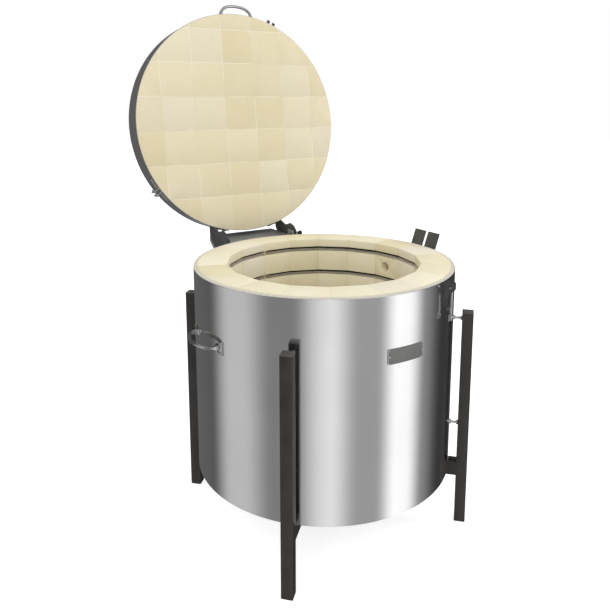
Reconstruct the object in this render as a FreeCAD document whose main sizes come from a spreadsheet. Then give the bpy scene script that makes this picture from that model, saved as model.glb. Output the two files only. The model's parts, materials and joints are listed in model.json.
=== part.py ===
import FreeCAD, Part
import math
import os
import re
import Sketcher

# Round top-loading electric kiln, lid open.
# Millimetres, +Z up, origin on the drum's axis at floor level, front faces -Y, hinge at +Y.
# Azimuths run from the front, positive towards +X.

doc = FreeCAD.newDocument("Kiln")

driving = {
    # drum and chamber
    "drumRadius": 320, "jacketSheet": 1, "underGap": 145, "baseSheet": 2, "boardThick": 20,
    "blanketWall": 8, "blanketDrop": 1, "nestGap": 0.2, "brickProud": 3, "chamberFlat": 236,
    "facetCount": 18, "brickJoint": 0.3, "chamberDeep": 420, "slabThick": 66, "tilePitch": 97,
    "tileShift": 18, "cutPast": 5,
    # heating
    "coilCount": 6, "coilPitch": 68, "coilTop": 27, "grooveTall": 13, "grooveDeep": 13,
    "coilWide": 9, "coilBack": 1.5, "leadWide": 5, "leadApart": 19, "leadSide": 33, "leadReach": 30,
    "sleeveWall": 3, "sleeveProud": 6, "tubeInset": 4, "tubeFacets": 8,
    # peephole
    "portRadius": 9, "portWall": 4, "portSide": 46, "portDrop": 61, "portRimWide": 5,
    "portRimThick": 3, "plugHead": 14, "plugHeadThick": 12, "plugDepth": 45, "plugSlack": 0.4,
    # electrical box
    "boxWide": 180, "boxLow": 185, "boxRoom": 3, "boxBack": 70, "boxSheet": 1.5,
    "coverLip": 12, "louvreApart": 20, "louvreWide": 60, "louvreTall": 5, "louvrePitch": 16,
    "louvreCount": 6, "blockWide": 46, "blockTall": 18, "blockDeep": 20, "glandRadius": 13,
    "glandStem": 7.8, "glandBore": 6.5, "glandLong": 24, "glandInside": 4, "glandNut": 10,
    "probeRadius": 4, "probeSide": 40, "probeDrop": 197, "probeReach": 22, "probeHead": 14,
    "probeNeck": 5,
    # lid
    "bandSheet": 1.2, "lidRest": 0.3, "bandInset": 0.8, "openAngle": 97,
    "hingeBack": 46, "hingeDrop": 33,
    # hinge
    "pivotRadius": 7, "runFit": 0.05, "boltInside": 8, "armSheet": 4, "armGap": 4,
    "consoleRoom": 12, "consoleSheet": 3, "consoleReach": 143, "consoleDrop": 7, "consoleFoot": 118,
    "consoleToe": 8, "consoleNose": 16, "earDeep": 34, "earRise": 10, "earInset": 2,
    "screwEdge": 9, "bossRadius": 17, "headRadius": 11, "headTall": 7, "armReach": 60,
    "armRound": 8, "armTop": 72, "armLow": 52,
    "flangeTall": 32, "flangeInner": 64, "lockSide": 30, "lockUp": 30, "lockRadius": 4,
    "lockSlack": 0.3, "lockKnob": 8, "lockTravel": 6, "collarLong": 9, "collarWall": 3,
    "knobLong": 12, "washerRadius": 13, "washerThick": 3.4, "nutAcross": 19, "hingeNut": 6,
    # swing bolt latch
    "latchAzimuth": 25, "latchWide": 34, "latchTall": 56, "latchTaper": 7, "latchDrop": 3,
    "latchSheet": 2.5, "earGap": 13, "earBevel": 3, "pinSpare": 3, "boltRadius": 3, "boltSpare": 4,
    "nutLift": 1.6, "boltDrop": 14, "boltOut": 15, "eyeRadius": 6, "eyeSlack": 1, "barrelWall": 2.5,
    "wingWide": 26, "wingTall": 9, "wingThick": 3, "forkRise": 48, "forkSheet": 4, "forkWide": 28,
    "forkFoot": 30, "forkLip": 12, "slotSlack": 1.5,
    # handles
    "bowRod": 4, "bowFacets": 10, "sideHalf": 61, "sideReach": 33, "sideDrop": 142,
    "footTall": 29, "footWide": 30, "footThick": 3, "footScrew": 9.5, "lidHalf": 50, "lidReach": 31,
    "lidHandleAzimuth": 3.8, "lidFootWide": 18, "lidFootTall": 24, "screwRadius": 3.2, "screwTall": 2,
    # badge and holder
    "badgeWide": 96, "badgeTall": 34, "badgeThick": 1.2, "badgeDrop": 133, "rivetRadius": 2,
    "rivetTall": 1, "rivetEdge": 5,
    "holderHalf": 48, "holderRise": 39, "holderDeep": 104, "holderNeck": 28, "holderSheet": 3,
    "holderSlot": 9, "holderSlotLow": 4, "holderLean": 20, "holderBend": 14, "holderShoulder": 32,
    # legs
    "legTall": 547, "legWide": 26.5, "legGap": 20.4, "legWall": 2, "capThick": 3, "armHigh": 20,
    "linkRise": 15, "armLong": 70, "tieRadius": 2.5, "tieTail": 5, "tieLow": 260, "tieDrop": 18,
    "nutFlat": 4.6, "nutThick": 4, "carrierEdge": 16,
    # lid clamp
    "clampAzimuth": 125, "clampGap": 9, "clampLug": 3, "clampReach": 15, "clampTall": 18,
    "clampScrew": 2.5, "clampTail": 10, "strapThick": 1.5, "strapTurn": 4, "strapSweep": 6.4,
}

sheet = doc.addObject("Spreadsheet::Sheet", "Sizes")
for rowNumber, (alias, size) in enumerate(driving.items(), start=1):
    sheet.set("A%d" % rowNumber, alias)
    sheet.set("B%d" % rowNumber, str(size))
    sheet.setAlias("B%d" % rowNumber, alias)
doc.recompute()

# derived places, written once as expressions of the driving sizes
brickTop = "(underGap + baseSheet + boardThick + slabThick + chamberDeep)"
jacketTall = "(baseSheet + boardThick + slabThick + chamberDeep - brickProud)"
rim = f"(underGap + {jacketTall})"
jacketInside = "(drumRadius - jacketSheet)"
brickRadius = "(drumRadius - jacketSheet - blanketWall - 2 * nestGap)"
floorTop = f"({brickTop} - chamberDeep)"
slabLow = f"({brickTop} - chamberDeep - slabThick)"
skin = "(drumRadius + nestGap)"
hingeY = "(drumRadius + hingeBack)"
hingeZ = f"({rim} - hingeDrop)"
lidFace = f"({brickTop} + lidRest)"
portZ = f"({brickTop} - portDrop)"
legInner = "(drumRadius + legGap)"
consoleHalf = "(boxWide / 2 + consoleRoom + consoleSheet)"
boxTall = f"({rim} - consoleDrop - consoleSheet - boxRoom - boxLow)"
coilZ = f"({brickTop} - coilTop - grooveTall / 2 + nestGap + coilWide / 2)"
coilOuter = "(chamberFlat + grooveDeep - coilBack)"
withinDrum = "(drumRadius * 0.8)"
pastDrum = "(drumRadius * 1.1)"

finished = []


def linked(text):
    """Expression text with every driving size pointed at its cell."""
    return re.sub(r"[A-Za-z]\w*", lambda word: "Sizes." + word.group() if word.group() in driving
                  else word.group(), str(text))


def value(text):
    return float(sheet.evalExpression(str(text)))


def newBody(label):
    body = doc.addObject("PartDesign::Body", label)
    body.Label = label
    body.AllowCompound = True
    return body


def newSketch(body, plane="XY_Plane", lift="0", turn="0"):
    """Sketch on an origin plane, moved along its normal by lift and swung about the Z axis by turn."""
    drawing = body.newObject("Sketcher::SketchObject", body.Name + "_sketch")
    support = [item for item in body.Origin.OriginFeatures if item.Role == plane][0]
    drawing.AttachmentSupport = (support, "")
    drawing.MapMode = "FlatFace"
    upright = FreeCAD.Vector(0, 1, 0)
    drawing.AttachmentOffset = FreeCAD.Placement(FreeCAD.Vector(), FreeCAD.Rotation(upright, value(turn)))
    if str(turn) != "0":
        drawing.setExpression("AttachmentOffset.Rotation.Angle", linked(turn))
        drawing.setExpression("AttachmentOffset.Base.x", linked(f"({lift}) * sin({turn})"))
        drawing.setExpression("AttachmentOffset.Base.z", linked(f"({lift}) * cos({turn})"))
    elif str(lift) != "0":
        drawing.setExpression("AttachmentOffset.Base.z", linked(lift))
    return drawing


def hold(drawing, kind, *where):
    """One driving constraint; its last entry is an expression text."""
    number = drawing.addConstraint(Sketcher.Constraint(kind, *where[:-1], value(where[-1])))
    drawing.setExpression("Constraints[%d]" % number, linked(where[-1]))


def addOutline(drawing, corners):
    """Closed outline of straight edges through corners given as pairs of expressions."""
    spots = [FreeCAD.Vector(value(x), value(y), 0) for x, y in corners]
    first = drawing.GeometryCount
    count = len(corners)
    for index in range(count):
        drawing.addGeometry(Part.LineSegment(spots[index], spots[(index + 1) % count]))
    for index in range(count):
        after = first + (index + 1) % count
        drawing.addConstraint(Sketcher.Constraint("Coincident", first + index, 2, after, 1))
    for index, (x, y) in enumerate(corners):
        hold(drawing, "DistanceX", -1, 1, first + index, 1, x)
        hold(drawing, "DistanceY", -1, 1, first + index, 1, y)


def addBox(drawing, low, high):
    addOutline(drawing, [low, (high[0], low[1]), high, (low[0], high[1])])


def addCircle(drawing, radius, x="0", y="0"):
    number = drawing.addGeometry(Part.Circle(FreeCAD.Vector(value(x), value(y), 0),
                                             FreeCAD.Vector(0, 0, 1), value(radius)))
    hold(drawing, "DistanceX", -1, 1, number, 3, x)
    hold(drawing, "DistanceY", -1, 1, number, 3, y)
    hold(drawing, "Radius", number, radius)


def addRegular(drawing, flat, count, x="0", y="0"):
    """Regular polygon given by its distance from centre to flat, with a flat at the front."""
    count = int(value(count))
    corners = []
    for index in range(count):
        angle = f"({index} * 360 / {count} + 180 / {count})"
        corners.append((f"{x} + {flat} / cos(180 / {count}) * sin({angle})",
                        f"{y} - {flat} / cos(180 / {count}) * cos({angle})"))
    addOutline(drawing, corners)


def addFeature(kind, body, drawing, length, both, back):
    feature = body.newObject("PartDesign::" + kind, body.Name + "_" + kind.lower())
    feature.Profile = drawing
    feature.Midplane = both
    feature.Reversed = back
    if length is None:
        feature.Type = "ThroughAll"
    else:
        feature.setExpression("Length", linked(length))
    doc.recompute()
    return feature


def pad(body, drawing, length, both=False, back=False):
    return addFeature("Pad", body, drawing, length, both, back)


def pocket(body, drawing, length=None, both=False, back=False):
    before = body.Shape.Volume
    feature = addFeature("Pocket", body, drawing, length, both, back)
    if body.Shape.Volume >= before:
        raise RuntimeError("a pocket of %s cuts nothing" % body.Label)
    return feature


def revolve(body, drawing, angle="360", axis=None, kind="Revolution"):
    feature = body.newObject("PartDesign::" + kind, body.Name + "_turned")
    feature.Profile = drawing
    feature.ReferenceAxis = (drawing, [axis or "V_Axis"])
    feature.Midplane = str(angle) != "360"
    feature.setExpression("Angle", linked(angle))
    doc.recompute()
    return feature


def repeatRound(body, features, count, sweep="360"):
    pattern = body.newObject("PartDesign::PolarPattern", body.Name + "_round")
    pattern.Originals = features
    pattern.Axis = ([item for item in body.Origin.OriginFeatures if item.Role == "Z_Axis"][0], [""])
    pattern.setExpression("Angle", linked(sweep))
    pattern.setExpression("Occurrences", linked(count))
    body.Tip = pattern
    doc.recompute()
    return pattern


def repeatAlong(body, features, axis, span, count, back=False):
    pattern = body.newObject("PartDesign::LinearPattern", body.Name + "_row")
    pattern.Originals = features
    pattern.Direction = ([item for item in body.Origin.OriginFeatures if item.Role == axis][0], [""])
    pattern.Reversed = back
    pattern.setExpression("Length", linked(span))
    pattern.setExpression("Occurrences", linked(count))
    body.Tip = pattern
    doc.recompute()
    return pattern


def mirrorSides(body, features, plane="YZ_Plane"):
    pattern = body.newObject("PartDesign::Mirrored", body.Name + "_mirrored")
    pattern.Originals = features
    pattern.MirrorPlane = ([item for item in body.Origin.OriginFeatures if item.Role == plane][0], [""])
    body.Tip = pattern
    doc.recompute()
    return pattern


def addHeads(body, azimuth, lift, heights, x="0"):
    """Hexagon screw heads one above another on the drum, at an azimuth."""
    heads = newSketch(body, "XZ_Plane", lift=lift, turn=azimuth)
    for height in heights:
        addRegular(heads, "screwRadius", 6, x, height)
    return pad(body, heads, "screwTall")


def roundEdges(body, radius, spots, along):
    """Rounds the straight edges parallel to the axis along that pass through the given places."""
    feature = body.Tip
    names = []
    for x, y, z in spots:
        place = Part.Vertex(FreeCAD.Vector(value(x), value(y), value(z)))
        for number, edge in enumerate(feature.Shape.Edges, start=1):
            straight = isinstance(edge.Curve, Part.Line)
            if straight and abs(edge.tangentAt(0).dot(along)) > 0.99 and edge.distToShape(place)[0] < 0.01:
                names.append("Edge%d" % number)
    rounded = body.newObject("PartDesign::Fillet", body.Name + "_rounded")
    rounded.Base = (feature, names)
    rounded.setExpression("Radius", linked(radius))
    body.Tip = rounded
    doc.recompute()


def turnAbout(item, azimuth):
    """Turns a piece drawn at the front to its azimuth."""
    turn = FreeCAD.Rotation(FreeCAD.Vector(0, 0, 1), value(azimuth))
    item.Placement = FreeCAD.Placement(FreeCAD.Vector(), turn)
    item.setExpression("Placement.Rotation.Angle", linked(azimuth))


def openLid(item):
    """Swings a piece drawn with the lid closed back about the hinge line."""
    turn = FreeCAD.Rotation(FreeCAD.Vector(-1, 0, 0), value("openAngle"))
    item.Placement = FreeCAD.Placement(FreeCAD.Vector(), turn)
    item.setExpression("Placement.Rotation.Angle", linked("openAngle"))
    moveY = f"{hingeY} * (1 - cos(openAngle)) - {hingeZ} * sin(openAngle)"
    moveZ = f"{hingeZ} * (1 - cos(openAngle)) + {hingeY} * sin(openAngle)"
    item.setExpression("Placement.Base.y", linked(moveY))
    item.setExpression("Placement.Base.z", linked(moveZ))


def grouped(label, bodies):
    """One named sub-part from bodies that were drawn separately."""
    item = doc.addObject("Part::Compound", label)
    item.Label = label
    item.Links = bodies
    doc.recompute()
    return item


def keep(item):
    finished.append(item)


# jacket: a drum of polished sheet with the holes of the port, the leads and the probe
def makeJacket():
    body = newBody("jacket")
    wall = newSketch(body, lift="underGap")
    addCircle(wall, "drumRadius")
    addCircle(wall, jacketInside)
    pad(body, wall, jacketTall)
    bores(body, False)
    keep(body)


def bores(body, eachLead):
    """Port bore to the right, probe bore and a way for the leads to the back."""
    port = newSketch(body, "YZ_Plane")
    addCircle(port, "portRadius + portWall + nestGap", "portSide", portZ)
    pocket(body, port, "drumRadius * 2", back=True)
    leads = newSketch(body, "XZ_Plane")
    around = "(leadWide / 2 + sleeveWall + 2 * nestGap)"
    if eachLead:
        for side in ("-", "+"):
            addRegular(leads, around, "tubeFacets", f"0 - leadSide {side} leadApart / 2", coilZ)
        first = pocket(body, leads, "drumRadius * 2")
        repeatAlong(body, [first], "Z_Axis", "coilPitch * (coilCount - 1)", "coilCount", back=True)
    else:
        lowest = f"{coilZ} - coilPitch * (coilCount - 1)"
        addBox(leads, (f"0 - leadSide - leadApart / 2 - {around}", f"{lowest} - {around}"),
               (f"leadApart / 2 - leadSide + {around}", f"{coilZ} + {around}"))
        pocket(body, leads, "drumRadius * 2")
    probe = newSketch(body, "XZ_Plane")
    addCircle(probe, "probeRadius + nestGap", "probeSide", f"{brickTop} - probeDrop")
    pocket(body, probe, "drumRadius * 2")


def makeBlanket():
    body = newBody("insulation_blanket")
    ring = newSketch(body, lift="underGap + baseSheet + nestGap")
    addCircle(ring, f"{jacketInside} - nestGap")
    addCircle(ring, f"{jacketInside} - nestGap - blanketWall")
    pad(body, ring, f"{brickTop} - underGap - baseSheet - nestGap - blanketDrop")
    bores(body, False)
    keep(body)


# wall: a ring of tall bricks, cut by upright joints, grooves that follow the flats, and bores
def makeWallBricks():
    body = newBody("wall_bricks")
    plan = newSketch(body, lift=floorTop)
    addCircle(plan, f"{brickRadius} - nestGap")
    addRegular(plan, "chamberFlat", "facetCount")
    pad(body, plan, "chamberDeep")
    groove = newSketch(body, lift=f"{brickTop} - coilTop - grooveTall / 2")
    addRegular(groove, "(chamberFlat + grooveDeep)", "facetCount")
    first = pocket(body, groove, "grooveTall", back=True)
    repeatAlong(body, [first], "Z_Axis", "coilPitch * (coilCount - 1)", "coilCount", back=True)
    bores(body, True)
    joint = newSketch(body, lift=floorTop)
    half = "180 / facetCount"
    near = "chamberFlat * 0.8"
    sides = [(near, "-"), (pastDrum, "-"), (pastDrum, "+"), (near, "+")]
    addOutline(joint, [(f"{reach} * sin({half}) {side} brickJoint / 2", f"0 - {reach} * cos({half})")
                       for reach, side in sides])
    cut = pocket(body, joint, "chamberDeep", back=True)
    repeatRound(body, [cut], "facetCount")
    keep(body)


# slab of bricks cut into tiles: the chamber floor, and the lid
def makeTiles(label, low, radius, onLid):
    body = newBody(label)
    disc = newSketch(body, lift=low)
    addCircle(disc, radius)
    pad(body, disc, "slabThick")
    across = newSketch(body, lift=low)
    addBox(across, ("0 - 2.5 * tilePitch - brickJoint / 2", f"0 - {pastDrum}"),
           ("0 - 2.5 * tilePitch + brickJoint / 2", pastDrum))
    cut = pocket(body, across, "slabThick", back=True)
    repeatAlong(body, [cut], "X_Axis", "5 * tilePitch", "6")
    along = newSketch(body, lift=low)
    addBox(along, (f"0 - {pastDrum}", "tileShift - 3 * tilePitch - brickJoint / 2"),
           (pastDrum, "tileShift - 3 * tilePitch + brickJoint / 2"))
    cut = pocket(body, along, "slabThick", back=True)
    repeatAlong(body, [cut], "Y_Axis", "5 * tilePitch", "6")
    if onLid:
        openLid(body)
    keep(body)


def makeBase():
    board = newBody("floor_board")
    disc = newSketch(board, lift="underGap + baseSheet")
    addCircle(disc, f"{brickRadius} - nestGap")
    pad(board, disc, f"{slabLow} - underGap - baseSheet")
    keep(board)
    plate = newBody("base_plate")
    disc = newSketch(plate, lift="underGap")
    addCircle(disc, f"{jacketInside} - nestGap")
    pad(plate, disc, "baseSheet")
    keep(plate)


# each coil's envelope follows the flats of its groove, open at the back between its two leads
def makeCoils():
    body = newBody("heating_coils")
    ring = newSketch(body, lift=f"{coilZ} - coilWide / 2")
    addRegular(ring, coilOuter, "facetCount")
    addRegular(ring, f"({coilOuter} - coilWide)", "facetCount")
    turn = pad(body, ring, "coilWide")
    gap = newSketch(body, lift=f"{coilZ} - coilWide / 2")
    addBox(gap, ("0 - leadSide - leadApart / 2 + leadWide / 2", "0"),
           ("0 - leadSide + leadApart / 2 - leadWide / 2", "drumRadius"))
    cut = pocket(body, gap, "coilWide", back=True)
    repeatAlong(body, [turn, cut], "Z_Axis", "coilPitch * (coilCount - 1)", "coilCount", back=True)
    keep(body)


def makeLeads():
    body = newBody("coil_leads")
    rods = newSketch(body, "XZ_Plane", lift=f"0 - {coilOuter}")
    for side in ("-", "+"):
        addRegular(rods, "leadWide / 2", "tubeFacets", f"0 - leadSide {side} leadApart / 2", coilZ)
    pair = pad(body, rods, f"drumRadius + leadReach - {coilOuter}", back=True)
    repeatAlong(body, [pair], "Z_Axis", "coilPitch * (coilCount - 1)", "coilCount", back=True)
    keep(body)
    sleeves = newBody("lead_sleeves")
    sleeveStart = "(chamberFlat + grooveDeep + tubeInset)"
    tubes = newSketch(sleeves, "XZ_Plane", lift=f"0 - {sleeveStart}")
    for side in ("-", "+"):
        centre = f"0 - leadSide {side} leadApart / 2"
        addRegular(tubes, "(leadWide / 2 + nestGap + sleeveWall)", "tubeFacets", centre, coilZ)
        addRegular(tubes, "(leadWide / 2 + nestGap)", "tubeFacets", centre, coilZ)
    pair = pad(sleeves, tubes, f"drumRadius + sleeveProud - {sleeveStart}", back=True)
    repeatAlong(sleeves, [pair], "Z_Axis", "coilPitch * (coilCount - 1)", "coilCount", back=True)
    keep(sleeves)


def makePort():
    start = "(chamberFlat + tubeInset)"
    rimFace = "(drumRadius + portRimThick)"
    sleeve = newBody("port_sleeve")
    tube = newSketch(sleeve, "YZ_Plane", lift=start)
    addCircle(tube, "portRadius + portWall", "portSide", portZ)
    addCircle(tube, "portRadius", "portSide", portZ)
    pad(sleeve, tube, f"drumRadius - {start}")
    flange = newSketch(sleeve, "YZ_Plane", lift="drumRadius")
    addCircle(flange, "portRadius + portRimWide", "portSide", portZ)
    addCircle(flange, "portRadius", "portSide", portZ)
    pad(sleeve, flange, "portRimThick")
    keep(sleeve)
    plug = newBody("port_plug")
    stem = newSketch(plug, "YZ_Plane", lift=f"{rimFace} + nestGap - plugDepth")
    addCircle(stem, "portRadius - plugSlack", "portSide", portZ)
    pad(plug, stem, "plugDepth")
    head = newSketch(plug, "YZ_Plane", lift=f"{rimFace} + nestGap")
    addCircle(head, "plugHead", "portSide", portZ)
    pad(plug, head, "plugHeadThick")
    keep(plug)


# electrical box: folded sheet fitted to the drum, cover with louvres, blocks, gland and probe
def makeBox():
    boxBackY = "(drumRadius + boxBack)"
    box = newBody("terminal_box")
    walls = newSketch(box, "XZ_Plane", lift=f"0 - {withinDrum}")
    addBox(walls, ("0 - boxWide / 2", "boxLow"), ("boxWide / 2", f"boxLow + {boxTall}"))
    pad(box, walls, f"{boxBackY} - {withinDrum}", back=True)
    hollow = newSketch(box, "XZ_Plane", lift=f"0 - {withinDrum}")
    addBox(hollow, ("0 - boxWide / 2 + boxSheet", "boxLow + boxSheet"),
           ("boxWide / 2 - boxSheet", f"boxLow + {boxTall} - boxSheet"))
    pocket(box, hollow)
    drum = newSketch(box)
    addCircle(drum, skin)
    pocket(box, drum, both=True)
    outlet = newSketch(box, lift="boxLow")
    addCircle(outlet, "glandStem + nestGap", "boxWide / 4", f"{boxBackY} - boxBack / 2")
    pocket(box, outlet, "boxSheet", back=True)
    keep(box)

    cover = newBody("terminal_cover")
    plate = newSketch(cover, "XZ_Plane", lift=f"0 - {boxBackY} - boxSheet")
    addBox(plate, ("0 - boxWide / 2 - boxSheet - nestGap", "boxLow - boxSheet - nestGap"),
           ("boxWide / 2 + boxSheet + nestGap", f"boxLow + {boxTall} + boxSheet + nestGap"))
    pad(cover, plate, "boxSheet + coverLip")
    inside = newSketch(cover, "XZ_Plane", lift=f"0 - {boxBackY}")
    addBox(inside, ("0 - boxWide / 2 - nestGap", "boxLow - nestGap"),
           ("boxWide / 2 + nestGap", f"boxLow + {boxTall} + nestGap"))
    pocket(cover, inside, "coverLip", back=True)
    slot = newSketch(cover, "XZ_Plane", lift=f"0 - {boxBackY} - boxSheet * 2")
    slotLow = f"boxLow + {boxTall} / 3"
    for side in ("0 - louvreWide - louvreApart / 2", "louvreApart / 2"):
        addBox(slot, (side, slotLow), (f"{side} + louvreWide", f"{slotLow} + louvreTall"))
    first = pocket(cover, slot, "boxSheet * 2.5", back=True)
    repeatAlong(cover, [first], "Z_Axis", "louvrePitch * (louvreCount - 1)", "louvreCount")
    keep(cover)

    screws = newBody("cover_screws")
    for x in ("0 - boxWide / 2 + coverLip", "boxWide / 2 - coverLip"):
        heights = ["boxLow + coverLip", f"boxLow + {boxTall} - coverLip"]
        addHeads(screws, "180", f"{boxBackY} + boxSheet", heights, x)
    keep(screws)

    blocks = newBody("terminal_blocks")
    block = newSketch(blocks, "XZ_Plane", lift="0 - drumRadius - leadReach")
    addBox(block, ("0 - leadSide - blockWide / 2", f"{coilZ} - blockTall / 2"),
           ("blockWide / 2 - leadSide", f"{coilZ} + blockTall / 2"))
    first = pad(blocks, block, "blockDeep", back=True)
    repeatAlong(blocks, [first], "Z_Axis", "coilPitch * (coilCount - 1)", "coilCount", back=True)
    keep(blocks)

    gland = newBody("cable_gland")
    stem = newSketch(gland, lift="boxLow - glandLong + boxSheet + glandInside")
    glandY = f"({boxBackY} - boxBack / 2)"
    addCircle(stem, "glandStem", "boxWide / 4", glandY)
    addCircle(stem, "glandBore", "boxWide / 4", glandY)
    pad(gland, stem, "glandLong")
    collar = newSketch(gland, lift="boxLow")
    addRegular(collar, "glandRadius", 6, "boxWide / 4", glandY)
    addCircle(collar, "glandBore", "boxWide / 4", glandY)
    pad(gland, collar, "glandNut", back=True)
    keep(gland)

    probe = newBody("thermocouple")
    sheath = newSketch(probe, "XZ_Plane", lift="probeReach - chamberFlat")
    addCircle(sheath, "probeRadius", "probeSide", f"{brickTop} - probeDrop")
    pad(probe, sheath, "drumRadius - chamberFlat + probeReach + leadReach", back=True)
    head = newSketch(probe, "XZ_Plane", lift="0 - drumRadius - probeNeck")
    addCircle(head, "probeHead", "probeSide", f"{brickTop} - probeDrop")
    pad(probe, head, "leadReach", back=True)
    keep(probe)


# lid: band, clamp, handle and catch are drawn with the lid closed, then swung open
def makeLid():
    makeTiles("lid_tiles", lidFace, "drumRadius - bandSheet - nestGap", True)
    band = newBody("lid_band")
    ring = newSketch(band, lift=f"{lidFace} + bandInset")
    addCircle(ring, "drumRadius")
    addCircle(ring, "drumRadius - bandSheet")
    pad(band, ring, "slabThick - bandInset")
    openLid(band)
    keep(band)

    handle = newBody("lid_handle_body")
    middle = f"({lidFace} + slabThick / 2)"
    makeBow(handle, "lidHalf", "lidReach", "lidFootWide", middle, "lidFootTall")
    turnAbout(handle, "lidHandleAzimuth")
    item = grouped("lid_handle", [handle])
    openLid(item)
    keep(item)

    heads = newBody("lid_handle_screws_body")
    for side in ("-", "+"):
        addHeads(heads, f"{side}1 * asin((lidHalf + bowRod) / drumRadius)", f"{skin} + footThick",
                 [f"{middle} - lidFootTall / 3", f"{middle} + lidFootTall / 3"])
    turnAbout(heads, "lidHandleAzimuth")
    item = grouped("lid_handle_screws", [heads])
    openLid(item)
    keep(item)

    rivets = newBody("lid_rivets")
    for azimuth in ("55", "141"):
        rivet = newSketch(rivets, "XZ_Plane", lift=skin, turn=f"-{azimuth}")
        addCircle(rivet, "rivetRadius", "0", middle)
        pad(rivets, rivet, "rivetTall")
    openLid(rivets)
    keep(rivets)

    lugs = newBody("band_clamp_body")
    screwY = f"(0 - {skin} - clampReach * 0.6)"
    for side in ("-", "+"):
        lug = newSketch(lugs, "YZ_Plane", lift=f"0 {side} (clampGap / 2 + clampLug / 2)")
        addBox(lug, (f"0 - {skin} - clampReach", f"{middle} - clampTall / 2"),
               (f"0 - {skin}", f"{middle} + clampTall / 2"))
        pad(lugs, lug, "clampLug", both=True)
        strap = newSketch(lugs, "YZ_Plane", turn=f"{side}1 * strapTurn")
        addBox(strap, (f"0 - {skin} - strapThick", f"{middle} - clampTall / 2"),
               (f"0 - {skin}", f"{middle} + clampTall / 2"))
        revolve(lugs, strap, "strapSweep")
    bore = newSketch(lugs, "YZ_Plane")
    addCircle(bore, "clampScrew + nestGap", screwY, middle)
    pocket(lugs, bore, both=True)
    turnAbout(lugs, "0 - clampAzimuth")
    item = grouped("band_clamp", [lugs])
    openLid(item)
    keep(item)

    screw = newBody("clamp_screw_body")
    shank = newSketch(screw, "YZ_Plane")
    addCircle(shank, "clampScrew", screwY, middle)
    pad(screw, shank, "clampGap + 2 * clampLug + clampTail", both=True)
    for side in ("0 - clampGap / 2 - clampLug - nutThick", "clampGap / 2 + clampLug"):
        head = newSketch(screw, "YZ_Plane", lift=side)
        addRegular(head, "nutFlat", 6, screwY, middle)
        pad(screw, head, "nutThick")
    turnAbout(screw, "0 - clampAzimuth")
    item = grouped("clamp_screw", [screw])
    openLid(item)
    keep(item)


def makeBow(body, half, reach, footWide, height, footTall):
    """Round bow on two feet that follow the drum, drawn at the front."""
    rise = f"({reach} + drumRadius - sqrt(drumRadius * drumRadius - {half} * {half}))"
    bend = f"(({half} * {half} + {rise} * {rise}) / (2 * {rise}))"
    axisY = f"({bend} - {reach} - drumRadius)"
    section = newSketch(body, "YZ_Plane")
    addRegular(section, "bowRod", "bowFacets", f"0 - drumRadius - {reach}", height)
    foot, head = FreeCAD.Vector(value(axisY), 0, 0), FreeCAD.Vector(value(axisY), value("bowRod"), 0)
    line = section.addGeometry(Part.LineSegment(foot, head), True)
    section.addConstraint(Sketcher.Constraint("Vertical", line))
    hold(section, "DistanceX", -1, 1, line, 1, axisY)
    hold(section, "DistanceY", -1, 1, line, 1, "0")
    hold(section, "DistanceY", line, 1, line, 2, "bowRod")
    revolve(body, section, f"2 * asin({half} / {bend})", axis="Axis0")
    lean = f"(asin({half} / drumRadius))"
    for side in ("-", "+"):
        foot = newSketch(body, "YZ_Plane", turn=f"{side}1 * {lean}")
        addBox(foot, (f"0 - {skin} - footThick", f"{height} - {footTall} / 2"),
               (f"0 - {skin}", f"{height} + {footTall} / 2"))
        revolve(body, foot, f"2 * asin({footWide} / 2 / drumRadius)")
    drum = newSketch(body, lift=f"{height} - {footTall}")
    addCircle(drum, skin)
    pocket(body, drum, f"2 * {footTall}", back=True)


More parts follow.
